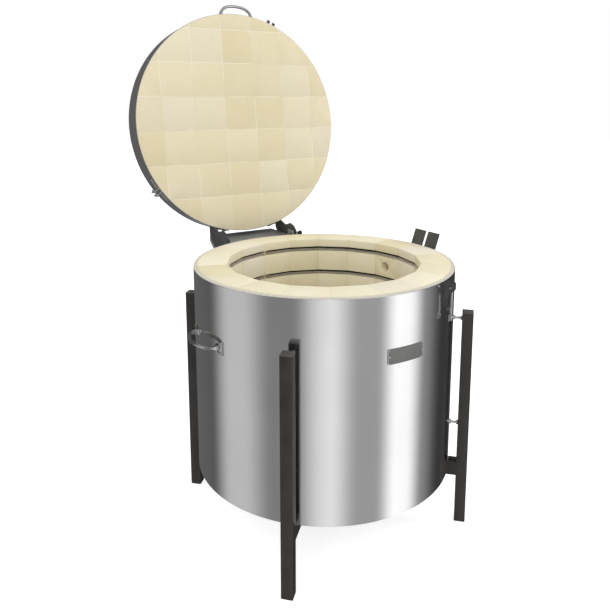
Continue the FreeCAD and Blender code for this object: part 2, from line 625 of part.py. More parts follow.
# hinge: a console on the drum carries the shaft, and the lid's two arms turn on it outside
def makeHinge():
    tipY = "(drumRadius + consoleReach)"
    topZ = f"({rim} - consoleDrop)"
    console = newBody("hinge_console")
    side = newSketch(console, "YZ_Plane")
    footZ = f"({topZ} - consoleFoot)"
    earZ = f"({rim} + earRise)"
    addOutline(side, [(withinDrum, footZ), ("drumRadius + consoleToe", footZ),
                      (tipY, f"{topZ} - consoleNose"), (tipY, topZ), ("drumRadius + earDeep", topZ),
                      ("drumRadius + earDeep", earZ), ("drumRadius + earInset", earZ),
                      ("drumRadius + earInset", topZ), (withinDrum, topZ)])
    pad(console, side, f"2 * {consoleHalf}", both=True)
    hollow = newSketch(console, "YZ_Plane")
    addBox(hollow, ("drumRadius / 2", f"{footZ} - cutPast"),
           (f"{tipY} + cutPast", f"{topZ} - consoleSheet"))
    pocket(console, hollow, f"2 * ({consoleHalf} - consoleSheet)", both=True)
    above = newSketch(console, "YZ_Plane")
    addBox(above, (withinDrum, topZ), (f"{tipY} + cutPast", f"{earZ} + cutPast"))
    pocket(console, above, f"2 * ({consoleHalf} - consoleSheet)", both=True)
    saddle = newSketch(console, "YZ_Plane")
    addBox(saddle, (skin, footZ), (f"{skin} + consoleSheet", topZ))
    revolve(console, saddle, f"2 * asin(({consoleHalf} - consoleSheet / 2) / drumRadius)")
    drum = newSketch(console)
    addCircle(drum, skin)
    pocket(console, drum, both=True)
    # room for the electrical box between the two flanges
    window = newSketch(console, "XZ_Plane")
    addBox(window, ("0 - boxWide / 2 - nestGap", f"{footZ} - cutPast"),
           ("boxWide / 2 + nestGap", f"{topZ} - consoleSheet"))
    pocket(console, window, "drumRadius + consoleSheet * 2")
    bore = newSketch(console, "YZ_Plane")
    addCircle(bore, "pivotRadius + runFit", hingeY, hingeZ)
    addCircle(bore, "lockRadius + lockSlack", f"{hingeY} - lockSide", f"{hingeZ} + lockUp")
    pocket(console, bore, both=True)
    keep(console)

    screws = newBody("console_screws")
    flangeX = "(boxWide / 2 + consoleRoom / 2)"
    made = addHeads(screws, f"180 deg - asin({flangeX} / drumRadius)", f"{skin} + consoleSheet",
                    [f"{footZ} + screwEdge * 1.5", f"{topZ} - consoleFoot / 2"])
    mirrorSides(screws, [made])
    keep(screws)

    outside = f"({consoleHalf} + armGap + armSheet + nestGap)"
    boltEnd = f"({consoleHalf} - consoleSheet - boltInside)"
    bolts = newBody("hinge_bolts")
    half = newSketch(bolts, lift=hingeZ)
    addOutline(half, [(boltEnd, hingeY), (f"{outside} + headTall", hingeY),
                      (f"{outside} + headTall * 0.85", f"{hingeY} + headRadius * 0.55"),
                      (f"{outside} + headTall * 0.4", f"{hingeY} + headRadius"),
                      (outside, f"{hingeY} + headRadius"), (outside, f"{hingeY} + pivotRadius"),
                      (boltEnd, f"{hingeY} + pivotRadius")])
    start, stop = FreeCAD.Vector(0, value(hingeY), 0), FreeCAD.Vector(value("headTall"), value(hingeY), 0)
    line = half.addGeometry(Part.LineSegment(start, stop), True)
    half.addConstraint(Sketcher.Constraint("Horizontal", line))
    hold(half, "DistanceX", -1, 1, line, 1, "0")
    hold(half, "DistanceY", -1, 1, line, 1, hingeY)
    hold(half, "DistanceX", line, 1, line, 2, "headTall")
    one = revolve(bolts, half, axis="Axis0")
    mirrorSides(bolts, [one])
    keep(bolts)

    washers = newBody("hinge_washers")
    ring = newSketch(washers, "YZ_Plane", lift=f"{consoleHalf} + (armGap - washerThick) / 2")
    addCircle(ring, "washerRadius", hingeY, hingeZ)
    addCircle(ring, "pivotRadius + runFit", hingeY, hingeZ)
    one = pad(washers, ring, "washerThick")
    mirrorSides(washers, [one])
    keep(washers)

    nuts = newBody("hinge_nuts")
    hexagon = newSketch(nuts, "YZ_Plane", lift=f"{consoleHalf} - consoleSheet - nestGap - hingeNut")
    addRegular(hexagon, "nutAcross / 2", 6, hingeY, hingeZ)
    addCircle(hexagon, "pivotRadius + runFit", hingeY, hingeZ)
    one = pad(nuts, hexagon, "hingeNut")
    mirrorSides(nuts, [one])
    keep(nuts)

    # the arms' front edge starts inside the band's curve, which then trims it
    armNear = f"({consoleHalf} + armGap)"
    seat = f"(sqrt(drumRadius * drumRadius - {armNear} * {armNear}) - {hingeY} - earInset)"
    arms = []
    for side in ("-", "+"):
        arm = newBody("hinge_arm")
        # profile in the closed position, about the hinge line
        profile = newSketch(arm, "YZ_Plane", lift=f"0 {side} ({consoleHalf} + armGap + armSheet / 2)")
        points = [(seat, "armTop"), (seat, "armTop - flangeTall"),
                  ("0 - armReach", "armTop * 0.36"), ("0 - armReach * 0.88", "armTop * 0.11"),
                  ("0 - armReach * 0.98", "0 - armLow * 0.42"), ("0 - armReach * 0.82", "0 - armLow * 0.79"),
                  ("0 - armReach * 0.6", "0 - armLow"), ("0 - armReach * 0.3", "0 - armLow * 0.96"),
                  ("bossRadius", "0 - bossRadius * 0.6"), ("bossRadius", "bossRadius * 0.5"),
                  ("bossRadius * 0.25", "armTop * 0.36"), ("0 - armReach * 0.43", "armTop * 0.86"),
                  ("0 - armReach * 0.73", "armTop")]
        addOutline(profile, [(f"{hingeY} + {y}", f"{hingeZ} + {z}") for y, z in points])
        pad(arm, profile, "armSheet", both=True)
        along = FreeCAD.Vector(1, 0, 0)
        x = f"0 {side} ({consoleHalf} + armGap + armSheet / 2)"
        corners = [(x, f"{hingeY} + {y}", f"{hingeZ} + {z}") for y, z in points]
        roundEdges(arm, "armRound", [corners[index] for index in (3, 5, 6, 8, 9)], along)
        # curved foot on the band, towards the middle of the lid
        inner = "asin(flangeInner / drumRadius)"
        outer = f"asin(({consoleHalf} + armGap + armSheet / 2) / drumRadius)"
        turn = "+" if side == "-" else "-"
        foot = newSketch(arm, "YZ_Plane", turn=f"{turn}1 * ({inner} + {outer}) / 2")
        addBox(foot, (skin, f"{hingeZ} + armTop - flangeTall"),
               (f"{skin} + consoleSheet", f"{hingeZ} + armTop"))
        revolve(arm, foot, f"{outer} - {inner}")
        drum = newSketch(arm)
        addCircle(drum, skin)
        pocket(arm, drum, both=True)
        bore = newSketch(arm, "YZ_Plane")
        addCircle(bore, "pivotRadius + runFit", hingeY, hingeZ)
        if side == "+":
            shutY = f"{hingeY} - lockSide * cos(openAngle) - lockUp * sin(openAngle)"
            shutZ = f"{hingeZ} - lockSide * sin(openAngle) + lockUp * cos(openAngle)"
            addCircle(bore, "lockRadius + lockSlack", shutY, shutZ)
        pocket(arm, bore, both=True)
        arms.append(arm)
    for label, arm in zip(("hinge_arm_left", "hinge_arm_right"), arms):
        arm.Label = label
        openLid(arm)
        keep(arm)

    heads = newBody("arm_screws")
    made = []
    for x in ("(flangeInner + screwEdge)", f"({consoleHalf} - screwEdge)"):
        made.append(addHeads(heads, f"180 deg - asin({x} / drumRadius)", f"{skin} + consoleSheet",
                             [f"{hingeZ} + armTop - screwEdge",
                              f"{hingeZ} + armTop - flangeTall + screwEdge"]))
    mirrorSides(heads, made)
    openLid(heads)
    keep(heads)

    # pull pin on the right arm, drawn with the lid open
    outside = f"({consoleHalf} + armGap + armSheet)"
    lockY = f"({hingeY} - lockSide)"
    lockZ = f"({hingeZ} + lockUp)"
    collar = newBody("lock_collar")
    ring = newSketch(collar, "YZ_Plane", lift=f"{outside} + nestGap / 2")
    addCircle(ring, "lockRadius + collarWall", lockY, lockZ)
    addCircle(ring, "lockRadius + lockSlack", lockY, lockZ)
    pad(collar, ring, "collarLong")
    keep(collar)
    knob = newBody("lock_knob")
    pin = newSketch(knob, "YZ_Plane", lift=f"{consoleHalf} + lockSlack")
    addCircle(pin, "lockRadius", lockY, lockZ)
    pad(knob, pin, "armGap + armSheet + collarLong + lockTravel")
    grip = newSketch(knob, "YZ_Plane", lift=f"{outside} + collarLong + lockTravel + nestGap")
    addCircle(grip, "lockKnob", lockY, lockZ)
    pad(knob, grip, "knobLong")
    keep(knob)


# latch: an eye bolt hangs from ears on the drum and swings up into the lid's fork
def makeLatch():
    topZ = f"({rim} - latchDrop)"
    pinY = "(0 - drumRadius - boltOut)"
    pinZ = f"({rim} - boltDrop)"
    # with the lid shut the bolt stands up and its nut comes down just above the fork
    nutSeat = "(forkRise + boltDrop + nutLift)"
    base = newBody("latch_base")
    plate = newSketch(base, "XZ_Plane", lift=skin)
    addOutline(plate, [("0 - latchWide / 2", topZ), ("latchWide / 2", topZ),
                       ("latchWide / 2 - latchTaper", f"{topZ} - latchTall"),
                       ("latchTaper - latchWide / 2", f"{topZ} - latchTall")])
    pad(base, plate, "latchSheet")
    for side in ("0 - earGap / 2 - latchSheet", "earGap / 2"):
        ear = newSketch(base, "YZ_Plane", lift=side)
        addOutline(ear, [(f"0 - {skin}", topZ), (f"{pinY} - eyeRadius + earBevel", topZ),
                         (f"{pinY} - eyeRadius", f"{topZ} - earBevel"),
                         (f"{pinY} - eyeRadius", f"{pinZ} - eyeRadius"),
                         (f"0 - {skin}", f"{topZ} - latchTall * 0.8")])
        pad(base, ear, "latchSheet")
    bore = newSketch(base, "YZ_Plane")
    addCircle(bore, "boltRadius + runFit", pinY, pinZ)
    pocket(base, bore, both=True)
    turnAbout(base, "latchAzimuth")
    keep(base)

    pin = newBody("latch_pin")
    rod = newSketch(pin, "YZ_Plane")
    addCircle(rod, "boltRadius", pinY, pinZ)
    pad(pin, rod, "earGap + 2 * latchSheet + pinSpare", both=True)
    turnAbout(pin, "latchAzimuth")
    keep(pin)

    bolt = newBody("swing_bolt")
    eye = newSketch(bolt, "YZ_Plane")
    addCircle(eye, "eyeRadius", pinY, pinZ)
    pad(bolt, eye, "earGap - eyeSlack", both=True)
    boltLong = f"({nutSeat} + wingTall + boltSpare)"
    shank = newSketch(bolt, lift=f"{pinZ} - {boltLong}")
    addCircle(shank, "boltRadius", "0", pinY)
    pad(bolt, shank, boltLong)
    hole = newSketch(bolt, "YZ_Plane")
    addCircle(hole, "boltRadius + runFit", pinY, pinZ)
    pocket(bolt, hole, both=True)
    turnAbout(bolt, "latchAzimuth")
    keep(bolt)

    wing = newBody("wing_nut")
    seatZ = f"({pinZ} - {nutSeat})"
    for side in ("-", "+"):
        blade = newSketch(wing, "XZ_Plane", lift=f"0 - {pinY}")
        inner = f"0 {side} (boltRadius + barrelWall / 2)"
        tip = f"0 {side} wingWide / 2"
        addOutline(blade, [(inner, f"{seatZ} - wingTall * 0.1"), (tip, f"{seatZ} - wingTall / 2"),
                           (tip, f"{seatZ} - wingTall * 1.5"), (inner, f"{seatZ} - wingTall * 0.7")])
        pad(wing, blade, "wingThick", both=True)
    barrel = newSketch(wing, lift=f"{seatZ} - wingTall * 0.8")
    addCircle(barrel, "boltRadius + barrelWall", "0", pinY)
    addCircle(barrel, "boltRadius + runFit", "0", pinY)
    pad(wing, barrel, "wingTall * 0.8")
    turnAbout(wing, "latchAzimuth")
    keep(wing)

    screws = newBody("latch_screws")
    heads = newSketch(screws, "XZ_Plane", lift=f"{skin} + latchSheet")
    for x in ("rivetEdge - latchWide / 2", "latchWide / 2 - rivetEdge"):
        addCircle(heads, "rivetRadius", x, f"{topZ} - rivetEdge")
    addCircle(heads, "rivetRadius", "0", f"{topZ} - latchTall + rivetEdge")
    pad(screws, heads, "rivetTall")
    turnAbout(screws, "latchAzimuth")
    keep(screws)

    # fork on the lid's band, drawn closed
    fork = newBody("lid_fork_body")
    forkZ = f"({rim} + forkRise)"
    angle = newSketch(fork, "YZ_Plane")
    outerY = "(0 - drumRadius - boltOut - forkLip)"
    front = f"0 - {skin} - latchSheet"
    addOutline(angle, [(f"0 - {skin}", f"{forkZ} - forkFoot"), (front, f"{forkZ} - forkFoot"),
                       (front, f"{forkZ} - forkSheet"), (outerY, f"{forkZ} - forkSheet"),
                       (outerY, forkZ), (f"0 - {skin}", forkZ)])
    pad(fork, angle, "forkWide", both=True)
    slot = newSketch(fork, lift=f"{forkZ} + cutPast")
    addBox(slot, ("0 - boltRadius - slotSlack", f"{outerY} - cutPast"),
           ("boltRadius + slotSlack", f"{pinY} + boltRadius + slotSlack"))
    pocket(fork, slot, "forkSheet + 2 * cutPast")
    turnAbout(fork, "latchAzimuth")
    item = grouped("lid_fork", [fork])
    openLid(item)
    keep(item)


def makeHandles():
    handleZ = f"({rim} - sideDrop)"
    for label, azimuth in (("side_handle_left", "0 - 90"), ("side_handle_right", "90")):
        handle = newBody(label)
        makeBow(handle, "sideHalf", "sideReach", "footWide", handleZ, "footTall")
        turnAbout(handle, azimuth)
        keep(handle)
    screws = newBody("handle_screws")
    lean = "asin((sideHalf + footScrew) / drumRadius)"
    made = []
    for side in ("-", "+"):
        made.append(addHeads(screws, f"-90 deg {side} {lean}", f"{skin} + footThick",
                             [f"{handleZ} - footTall / 3", f"{handleZ} + footTall / 3"]))
    repeatRound(screws, made, "2")
    keep(screws)


def makeBadge():
    badgeZ = f"({rim} - badgeDrop)"
    plate = newBody("badge_plate")
    section = newSketch(plate, "YZ_Plane")
    addBox(section, (f"0 - {skin} - badgeThick", f"{badgeZ} - badgeTall / 2"),
           (f"0 - {skin}", f"{badgeZ} + badgeTall / 2"))
    revolve(plate, section, "2 * asin(badgeWide / 2 / drumRadius)")
    keep(plate)
    rivets = newBody("badge_rivets")
    for side in ("-", "+"):
        turn = f"{side}1 * asin((badgeWide / 2 - rivetEdge) / drumRadius)"
        head = newSketch(rivets, "XZ_Plane", lift=f"{skin} + badgeThick", turn=turn)
        addCircle(head, "rivetRadius", "0", badgeZ)
        pad(rivets, head, "rivetTall")
    keep(rivets)


# holder for the control unit: two lugs above the rim that lean outward
def makeHolder():
    bendZ = f"({rim} - holderBend)"
    run = "((holderRise + holderBend) * tan(holderLean))"
    low = f"({rim} - holderDeep)"
    holder = newBody("controller_holder")
    profile = newSketch(holder, "YZ_Plane")
    addOutline(profile, [(f"0 - {skin}", low), (f"0 - {skin}", bendZ),
                         (f"0 - {skin} - {run}", f"{rim} + holderRise"),
                         (f"0 - {skin} - {run} - holderSheet", f"{rim} + holderRise"),
                         (f"0 - {skin} - holderSheet", bendZ), (f"0 - {skin} - holderSheet", low)])
    pad(holder, profile, "2 * holderHalf", both=True)
    slot = newSketch(holder, "XZ_Plane", lift=withinDrum)
    addBox(slot, ("0 - holderSlot / 2", f"{rim} - holderSlotLow"),
           ("holderSlot / 2", f"{rim} + holderRise + cutPast"))
    beside = [("0 - holderHalf - cutPast", "0 - holderNeck"), ("holderNeck", "holderHalf + cutPast")]
    for near, far in beside:
        addBox(slot, (near, f"{low} - cutPast"), (far, f"{rim} - holderShoulder"))
    pocket(holder, slot, "drumRadius / 2", back=True)
    turnAbout(holder, "90")
    keep(holder)
    screws = newBody("holder_screws")
    for x in ("screwEdge - holderNeck", "holderNeck - screwEdge"):
        addHeads(screws, "90", f"{skin} + holderSheet",
                 [f"{low} + screwEdge", f"{rim} - holderBend - screwEdge * 1.5"], x)
    keep(screws)


# legs: square tube post, carrier arm under the base, tie rods to the jacket
def makeLegs():
    postLow = "capThick"
    for label, azimuth in (("leg_front_left", "0 - 45"), ("leg_front_right", "45"),
                           ("leg_back_right", "135"), ("leg_back_left", "0 - 135")):
        leg = newBody(label)
        post = newSketch(leg, lift=postLow)
        addBox(post, ("0 - legWide / 2", f"0 - {legInner} - legWide"), ("legWide / 2", f"0 - {legInner}"))
        pad(leg, post, "legTall - 2 * capThick")
        arm = newSketch(leg, "YZ_Plane")
        welded = f"0 - {legInner} - legWall / 2"
        addOutline(arm, [(welded, "underGap - armHigh"), ("armLong - drumRadius", "underGap - armHigh"),
                         ("armLong - drumRadius", "underGap"), (f"0 - {skin}", "underGap"),
                         (f"0 - {skin}", "underGap + linkRise"), (welded, "underGap + linkRise")])
        pad(leg, arm, "legWide", both=True)
        core = newSketch(leg, lift=postLow)
        addBox(core, ("legWall - legWide / 2", f"legWall - {legInner} - legWide"),
               ("legWide / 2 - legWall", f"0 - {legInner} - legWall"))
        pocket(leg, core, back=True)
        holes = newSketch(leg, "XZ_Plane", lift=f"{legInner} - legWall / 2")
        for z in ("tieLow", "legTall - tieDrop"):
            addRegular(holes, "(tieRadius + nestGap)", "tubeFacets", "0", z)
        pocket(leg, holes, "legWall * 2", back=True)
        turnAbout(leg, azimuth)
        keep(leg)
    makeLegTrim()


def makeLegTrim():
    for label, low in (("leg_caps", "legTall - capThick"), ("leg_feet", "0")):
        caps = newBody(label)
        plate = newSketch(caps, lift=low)
        addBox(plate, ("0 - legWide / 2", f"0 - {legInner} - legWide"), ("legWide / 2", f"0 - {legInner}"))
        one = pad(caps, plate, "capThick")
        repeatRound(caps, [one], "4")
        turnAbout(caps, "45")
        keep(caps)
    rods = newBody("tie_rods")
    rod = newSketch(rods, "XZ_Plane", lift=skin)
    for z in ("tieLow", "legTall - tieDrop"):
        addRegular(rod, "tieRadius", "tubeFacets", "0", z)
    made = [pad(rods, rod, "legGap + legWall + tieTail")]
    for lift in (skin, f"{legInner} - nutThick - nestGap"):
        nut = newSketch(rods, "XZ_Plane", lift=lift)
        for z in ("tieLow", "legTall - tieDrop"):
            addRegular(nut, "nutFlat", 6, "0", z)
        made.append(pad(rods, nut, "nutThick"))
    repeatRound(rods, made, "4")
    turnAbout(rods, "45")
    keep(rods)
    screws = newBody("carrier_screws")
    head = newSketch(screws, lift="underGap - armHigh")
    for back in ("carrierEdge", "armLong - carrierEdge"):
        addRegular(head, "nutFlat", 6, "0", f"{back} - drumRadius")
    one = pad(screws, head, "nutThick", back=True)
    repeatRound(screws, [one], "4")
    turnAbout(screws, "45")
    keep(screws)


makeJacket()
makeBlanket()
makeWallBricks()
makeTiles("floor_tiles", slabLow, f"{brickRadius} - nestGap", False)
makeBase()
makeCoils()
makeLeads()
makePort()
makeBox()
makeLid()
makeHinge()
makeLatch()
makeHandles()
makeBadge()
makeHolder()
makeLegs()

doc.recompute()
for item in doc.Objects:
    if "Invalid" in item.State or "Error" in item.State:
        raise RuntimeError("%s failed to build" % item.Label)

os.makedirs("parts", exist_ok=True)
for item in finished:
    shape = item.Shape
    if shape.isNull() or not shape.isValid():
        raise RuntimeError("%s has no sound shape" % item.Label)
    shape.exportStep("parts/%s.step" % item.Label)
    print(item.Label, "solids", len(shape.Solids), "volume", round(shape.Volume))
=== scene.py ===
import json
import math

import bmesh
import bpy
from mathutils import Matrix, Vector, noise


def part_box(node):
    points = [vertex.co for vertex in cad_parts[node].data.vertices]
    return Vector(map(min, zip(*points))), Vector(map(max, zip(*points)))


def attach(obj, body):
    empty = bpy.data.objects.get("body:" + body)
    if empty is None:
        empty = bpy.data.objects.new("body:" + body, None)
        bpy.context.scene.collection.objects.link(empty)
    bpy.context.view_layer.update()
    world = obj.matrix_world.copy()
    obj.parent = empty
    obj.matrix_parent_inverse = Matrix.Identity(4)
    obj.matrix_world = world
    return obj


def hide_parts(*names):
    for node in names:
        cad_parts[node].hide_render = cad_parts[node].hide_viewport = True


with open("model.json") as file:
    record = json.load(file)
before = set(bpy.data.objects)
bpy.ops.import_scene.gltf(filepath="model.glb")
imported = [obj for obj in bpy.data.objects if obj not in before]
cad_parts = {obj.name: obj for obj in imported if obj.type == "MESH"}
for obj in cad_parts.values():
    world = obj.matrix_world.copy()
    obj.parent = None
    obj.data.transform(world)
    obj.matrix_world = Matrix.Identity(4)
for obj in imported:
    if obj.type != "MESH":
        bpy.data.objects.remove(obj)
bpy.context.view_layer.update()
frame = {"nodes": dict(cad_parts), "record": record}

# main sizes in metres, shared by several pieces
drum = {"radius": 0.320, "rim": 0.650, "low": 0.145, "brickTop": 0.653}
chamber = {"flat": 0.236, "grooveFloor": 0.6195, "grooveTall": 0.013, "floor": 0.215}
hinge = {"y": 0.366, "z": 0.617, "angle": 97.0}  # the lid's axis, and how far it stands open
up = Vector((0, 0, 1))


# places round the drum: turn in radians, or azimuth in degrees, from the front towards +X
def atTurn(turn, radius, height):
    return Vector((radius * math.sin(turn), -radius * math.cos(turn), height))


def onDrum(azimuth, radius, height):
    return atTurn(math.radians(azimuth), radius, height)


# outward and sideways directions at an azimuth of the drum
def drumAxes(azimuth):
    outward = onDrum(azimuth, 1.0, 0.0)
    return outward, Vector((-outward.y, outward.x, 0.0))


# turns a place about the hinge: from the shut lid to the open one, or back with way -1
def swingLid(point, way=1):
    turn = math.radians(way * hinge["angle"])
    y, z = point.y - hinge["y"], point.z - hinge["z"]
    return Vector((point.x, hinge["y"] + y * math.cos(turn) + z * math.sin(turn),
                   hinge["z"] - y * math.sin(turn) + z * math.cos(turn)))


# small helpers for pieces
def makePiece(name, verts, faces, smooth=True):
    mesh = bpy.data.meshes.new(name)
    mesh.from_pydata([tuple(v) for v in verts], [], faces)
    mesh.validate()
    mesh.update()
    piece = bpy.data.objects.new(name, mesh)
    bpy.context.scene.collection.objects.link(piece)
    for polygon in mesh.polygons:
        polygon.use_smooth = smooth
    return piece


# gives a new piece its finish, body and slot, and the nodes it stands for
def dress(piece, body, slotName, *nodes, material=None):
    piece.data.materials.clear()
    piece.data.materials.append(material or finishes[slotName])
    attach(piece, body)
    if nodes:
        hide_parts(*nodes)


def applyModifiers(piece):
    bpy.context.view_layer.update()
    graph = bpy.context.evaluated_depsgraph_get()
    mesh = bpy.data.meshes.new_from_object(piece.evaluated_get(graph))
    piece.modifiers.clear()
    piece.data = mesh


def fixNormals(piece):
    bm = bmesh.new()
    bm.from_mesh(piece.data)
    bmesh.ops.recalc_face_normals(bm, faces=bm.faces)
    bm.to_mesh(piece.data)
    bm.free()


def sharpen(piece, angle):
    for polygon in piece.data.polygons:
        polygon.use_smooth = True
    piece.data.set_sharp_from_angle(angle=math.radians(angle))


# new piece in one go: mesh, outward normals, sharp edges above an angle, finish
def addPiece(name, mesh, body, slotName, *nodes, sharp=None, smooth=True, material=None):
    piece = makePiece(name, *mesh, smooth)
    fixNormals(piece)
    if sharp:
        sharpen(piece, sharp)
    dress(piece, body, slotName, *nodes, material=material)


# meshes as (verts, faces)
boxFaces = [(0, 1, 3, 2), (4, 6, 7, 5), (0, 4, 5, 1), (2, 3, 7, 6), (0, 2, 6, 4), (1, 5, 7, 3)]


def boxMesh(low, high):
    verts = [Vector((x, y, z)) for x in (low[0], high[0]) for y in (low[1], high[1]) for z in (low[2], high[2])]
    return verts, boxFaces


# faces between rings of points: either a loop of rings, or a row of them with both ends shut
def ringFaces(rings, sides, loop=False, flipped=False):
    faces = []
    for ring in range(rings if loop else rings - 1):
        low, high = ring * sides, ((ring + 1) % rings) * sides
        for corner in range(sides):
            after = (corner + 1) % sides
            faces.append((low + corner, low + after, high + after, high + corner))
    if not loop:
        faces.append(tuple(reversed(range(sides))))
        faces.append(tuple(range((rings - 1) * sides, rings * sides)))
    if flipped:
        faces = [(face[0], *face[:0:-1]) for face in faces]
    return faces


# round tube through points, its rings kept level; radius is one value or one for each point
def tubeAlong(points, radius, sides):
    verts = []
    last = len(points) - 1
    for index, point in enumerate(points):
        along = (points[min(index + 1, last)] - points[max(index - 1, 0)]).normalized()
        side = along.cross(up)
        if side.length < 1e-4:
            side = Vector((1, 0, 0))
        side.normalize()
        lift = side.cross(along)
        reach = radius[index] if isinstance(radius, list) else radius
        for corner in range(sides):
            angle = 2 * math.pi * corner / sides
            verts.append(point + side * reach * math.cos(angle) + lift * reach * math.sin(angle))
    return verts, ringFaces(len(points), sides)


# turned form: profile holds (distance along the axis, radius) pairs
def lathe(profile, centre, axis, sides, start=(1, 0, 0)):
    axis = Vector(axis).normalized()
    side = (Vector(start) - axis * axis.dot(Vector(start))).normalized()
    other = axis.cross(side)
    verts = []
    for along, radius in profile:
        for corner in range(sides):
            angle = 2 * math.pi * corner / sides
            spoke = side * math.cos(angle) + other * math.sin(angle)
            verts.append(Vector(centre) + axis * along + spoke * radius)
    return verts, ringFaces(len(profile), sides)


def joinParts(parts):
    verts, faces = [], []
    for partVerts, partFaces in parts:
        start = len(verts)
        verts.extend(partVerts)
        faces.extend(tuple(index + start for index in face) for face in partFaces)
    return verts, faces


# small helpers for materials
def newMaterial(name):
    material = bpy.data.materials.new(name)
    material.use_nodes = True
    return material, material.node_tree, material.node_tree.nodes["Principled BSDF"]


# inputs of a node, by name or number: each takes another node's output, a colour or a value
def feed(tree, node, feeds):
    for key, source in feeds.items():
        socket = node.inputs[key]
        if isinstance(source, bpy.types.NodeSocket):
            tree.links.new(source, socket)
        else:
            socket.default_value = (*source, 1) if socket.type == "RGBA" else source


def addNode(tree, kind, feeds, **settings):
    node = tree.nodes.new(kind)
    for key, setting in settings.items():
        setattr(node, key, setting)
    feed(tree, node, feeds)
    return node


def calc(tree, operation, *values):
    return addNode(tree, "ShaderNodeMath", dict(enumerate(values)), operation=operation).outputs["Value"]


def mapRange(tree, value, fromMin=0.0, fromMax=1.0, toMin=0.0, toMax=1.0):
    feeds = {"Value": value, "From Min": fromMin, "From Max": fromMax, "To Min": toMin, "To Max": toMax}
    return addNode(tree, "ShaderNodeMapRange", feeds).outputs["Result"]


def mixColour(tree, mask, first, second):
    return addNode(tree, "ShaderNodeMix", {0: mask, 6: first, 7: second}, data_type="RGBA").outputs[2]


def mixValue(tree, mask, first, second):
    return addNode(tree, "ShaderNodeMix", {0: mask, 2: first, 3: second}).outputs[0]


# grey ramp from (place, shade) pairs
def ramp(tree, source, stops):
    node = addNode(tree, "ShaderNodeValToRGB", {"Fac": source})
    node.color_ramp.interpolation = "EASE"
    elements = node.color_ramp.elements
    elements.remove(elements[-1])
    for index, (place, shade) in enumerate(stops):
        element = elements[0] if index == 0 else elements.new(place)
        element.position = place
        element.color = (shade, shade, shade, 1)
    return node.outputs["Color"]


def bump(tree, shader, height, strength, distance):
    node = addNode(tree, "ShaderNodeBump", {"Strength": strength, "Distance": distance, "Height": height})
    feed(tree, shader, {"Normal": node.outputs["Normal"]})


# node group from its inputs with their defaults and the names of its outputs
def newGroup(name, inputs, outputs):
    group = bpy.data.node_groups.new(name, "ShaderNodeTree")
    for label, default in inputs.items():
        kind = "NodeSocketVector" if isinstance(default, tuple) else "NodeSocketFloat"
        group.interface.new_socket(name=label, in_out="INPUT", socket_type=kind).default_value = default
    for label in outputs:
        group.interface.new_socket(name=label, in_out="OUTPUT", socket_type="NodeSocketFloat")
    return group, group.nodes.new("NodeGroupInput").outputs, group.nodes.new("NodeGroupOutput")


def placeGroup(tree, group, **values):
    node = addNode(tree, "ShaderNodeGroup", {}, node_tree=group)
    feed(tree, node, values)
    return node.outputs


# noise of a surface, spread so that its middle range fills a mask: fine and broad clouds, and a height
grainMask = {"from": 0.35, "to": 0.65, "fineRoughness": 0.6, "broadRoughness": 0.5, "broadDetail": 3.0}


def buildGrainGroup():
    group, given, leave = newGroup("surfaceGrain", {"scale": 200.0, "stretch": (1, 1, 1), "broadScale": 12.0,
                                                    "detail": 4.0}, ("mask", "height", "broad"))
    place = group.nodes.new("ShaderNodeTexCoord").outputs["Object"]
    stretched = addNode(group, "ShaderNodeVectorMath", {0: place, 1: given["stretch"]}, operation="MULTIPLY")
    fine = addNode(group, "ShaderNodeTexNoise", {"Vector": stretched.outputs[0], "Scale": given["scale"],
                                                 "Detail": given["detail"], "Roughness": grainMask["fineRoughness"]})
    broad = addNode(group, "ShaderNodeTexNoise", {"Vector": place, "Scale": given["broadScale"],
                                                  "Detail": grainMask["broadDetail"],
                                                  "Roughness": grainMask["broadRoughness"]})
    feed(group, leave, {"mask": mapRange(group, fine.outputs["Fac"], grainMask["from"], grainMask["to"]),
                        "height": fine.outputs["Fac"],
                        "broad": mapRange(group, broad.outputs["Fac"], grainMask["from"], grainMask["to"])})
    return group


# edges rubbed bright: rounded normal against the true one, broken up by noise
wearMask = {"edgeFrom": 0.97, "edgeTo": 0.80, "gritFrom": 0.45, "gritTo": 0.62, "gritDetail": 3.0, "gritRoughness": 0.7}


def buildWearGroup():
    group, given, leave = newGroup("edgeWear", {"width": 0.0012, "amount": 0.6, "breakup": 90.0}, ("mask",))
    bevel = addNode(group, "ShaderNodeBevel", {"Radius": given["width"]}, samples=4)
    plain = group.nodes.new("ShaderNodeNewGeometry").outputs["Normal"]
    dot = addNode(group, "ShaderNodeVectorMath", {0: bevel.outputs["Normal"], 1: plain}, operation="DOT_PRODUCT")
    place = group.nodes.new("ShaderNodeTexCoord").outputs["Object"]
    grit = addNode(group, "ShaderNodeTexNoise", {"Vector": place, "Scale": given["breakup"],
                                                 "Detail": wearMask["gritDetail"],
                                                 "Roughness": wearMask["gritRoughness"]})
    edge = mapRange(group, dot.outputs["Value"], wearMask["edgeFrom"], wearMask["edgeTo"])
    broken = mapRange(group, grit.outputs["Fac"], wearMask["gritFrom"], wearMask["gritTo"])
    feed(group, leave, {"mask": calc(group, "MULTIPLY", calc(group, "MULTIPLY", edge, broken), given["amount"])})
    return group


grainGroup = buildGrainGroup()
wearGroup = buildWearGroup()

# bare or plated steel: uneven roughness and a faint ripple that bends reflections
steelLook = {"clouds": 7.0, "dull": 0.96, "relief": 0.00005}


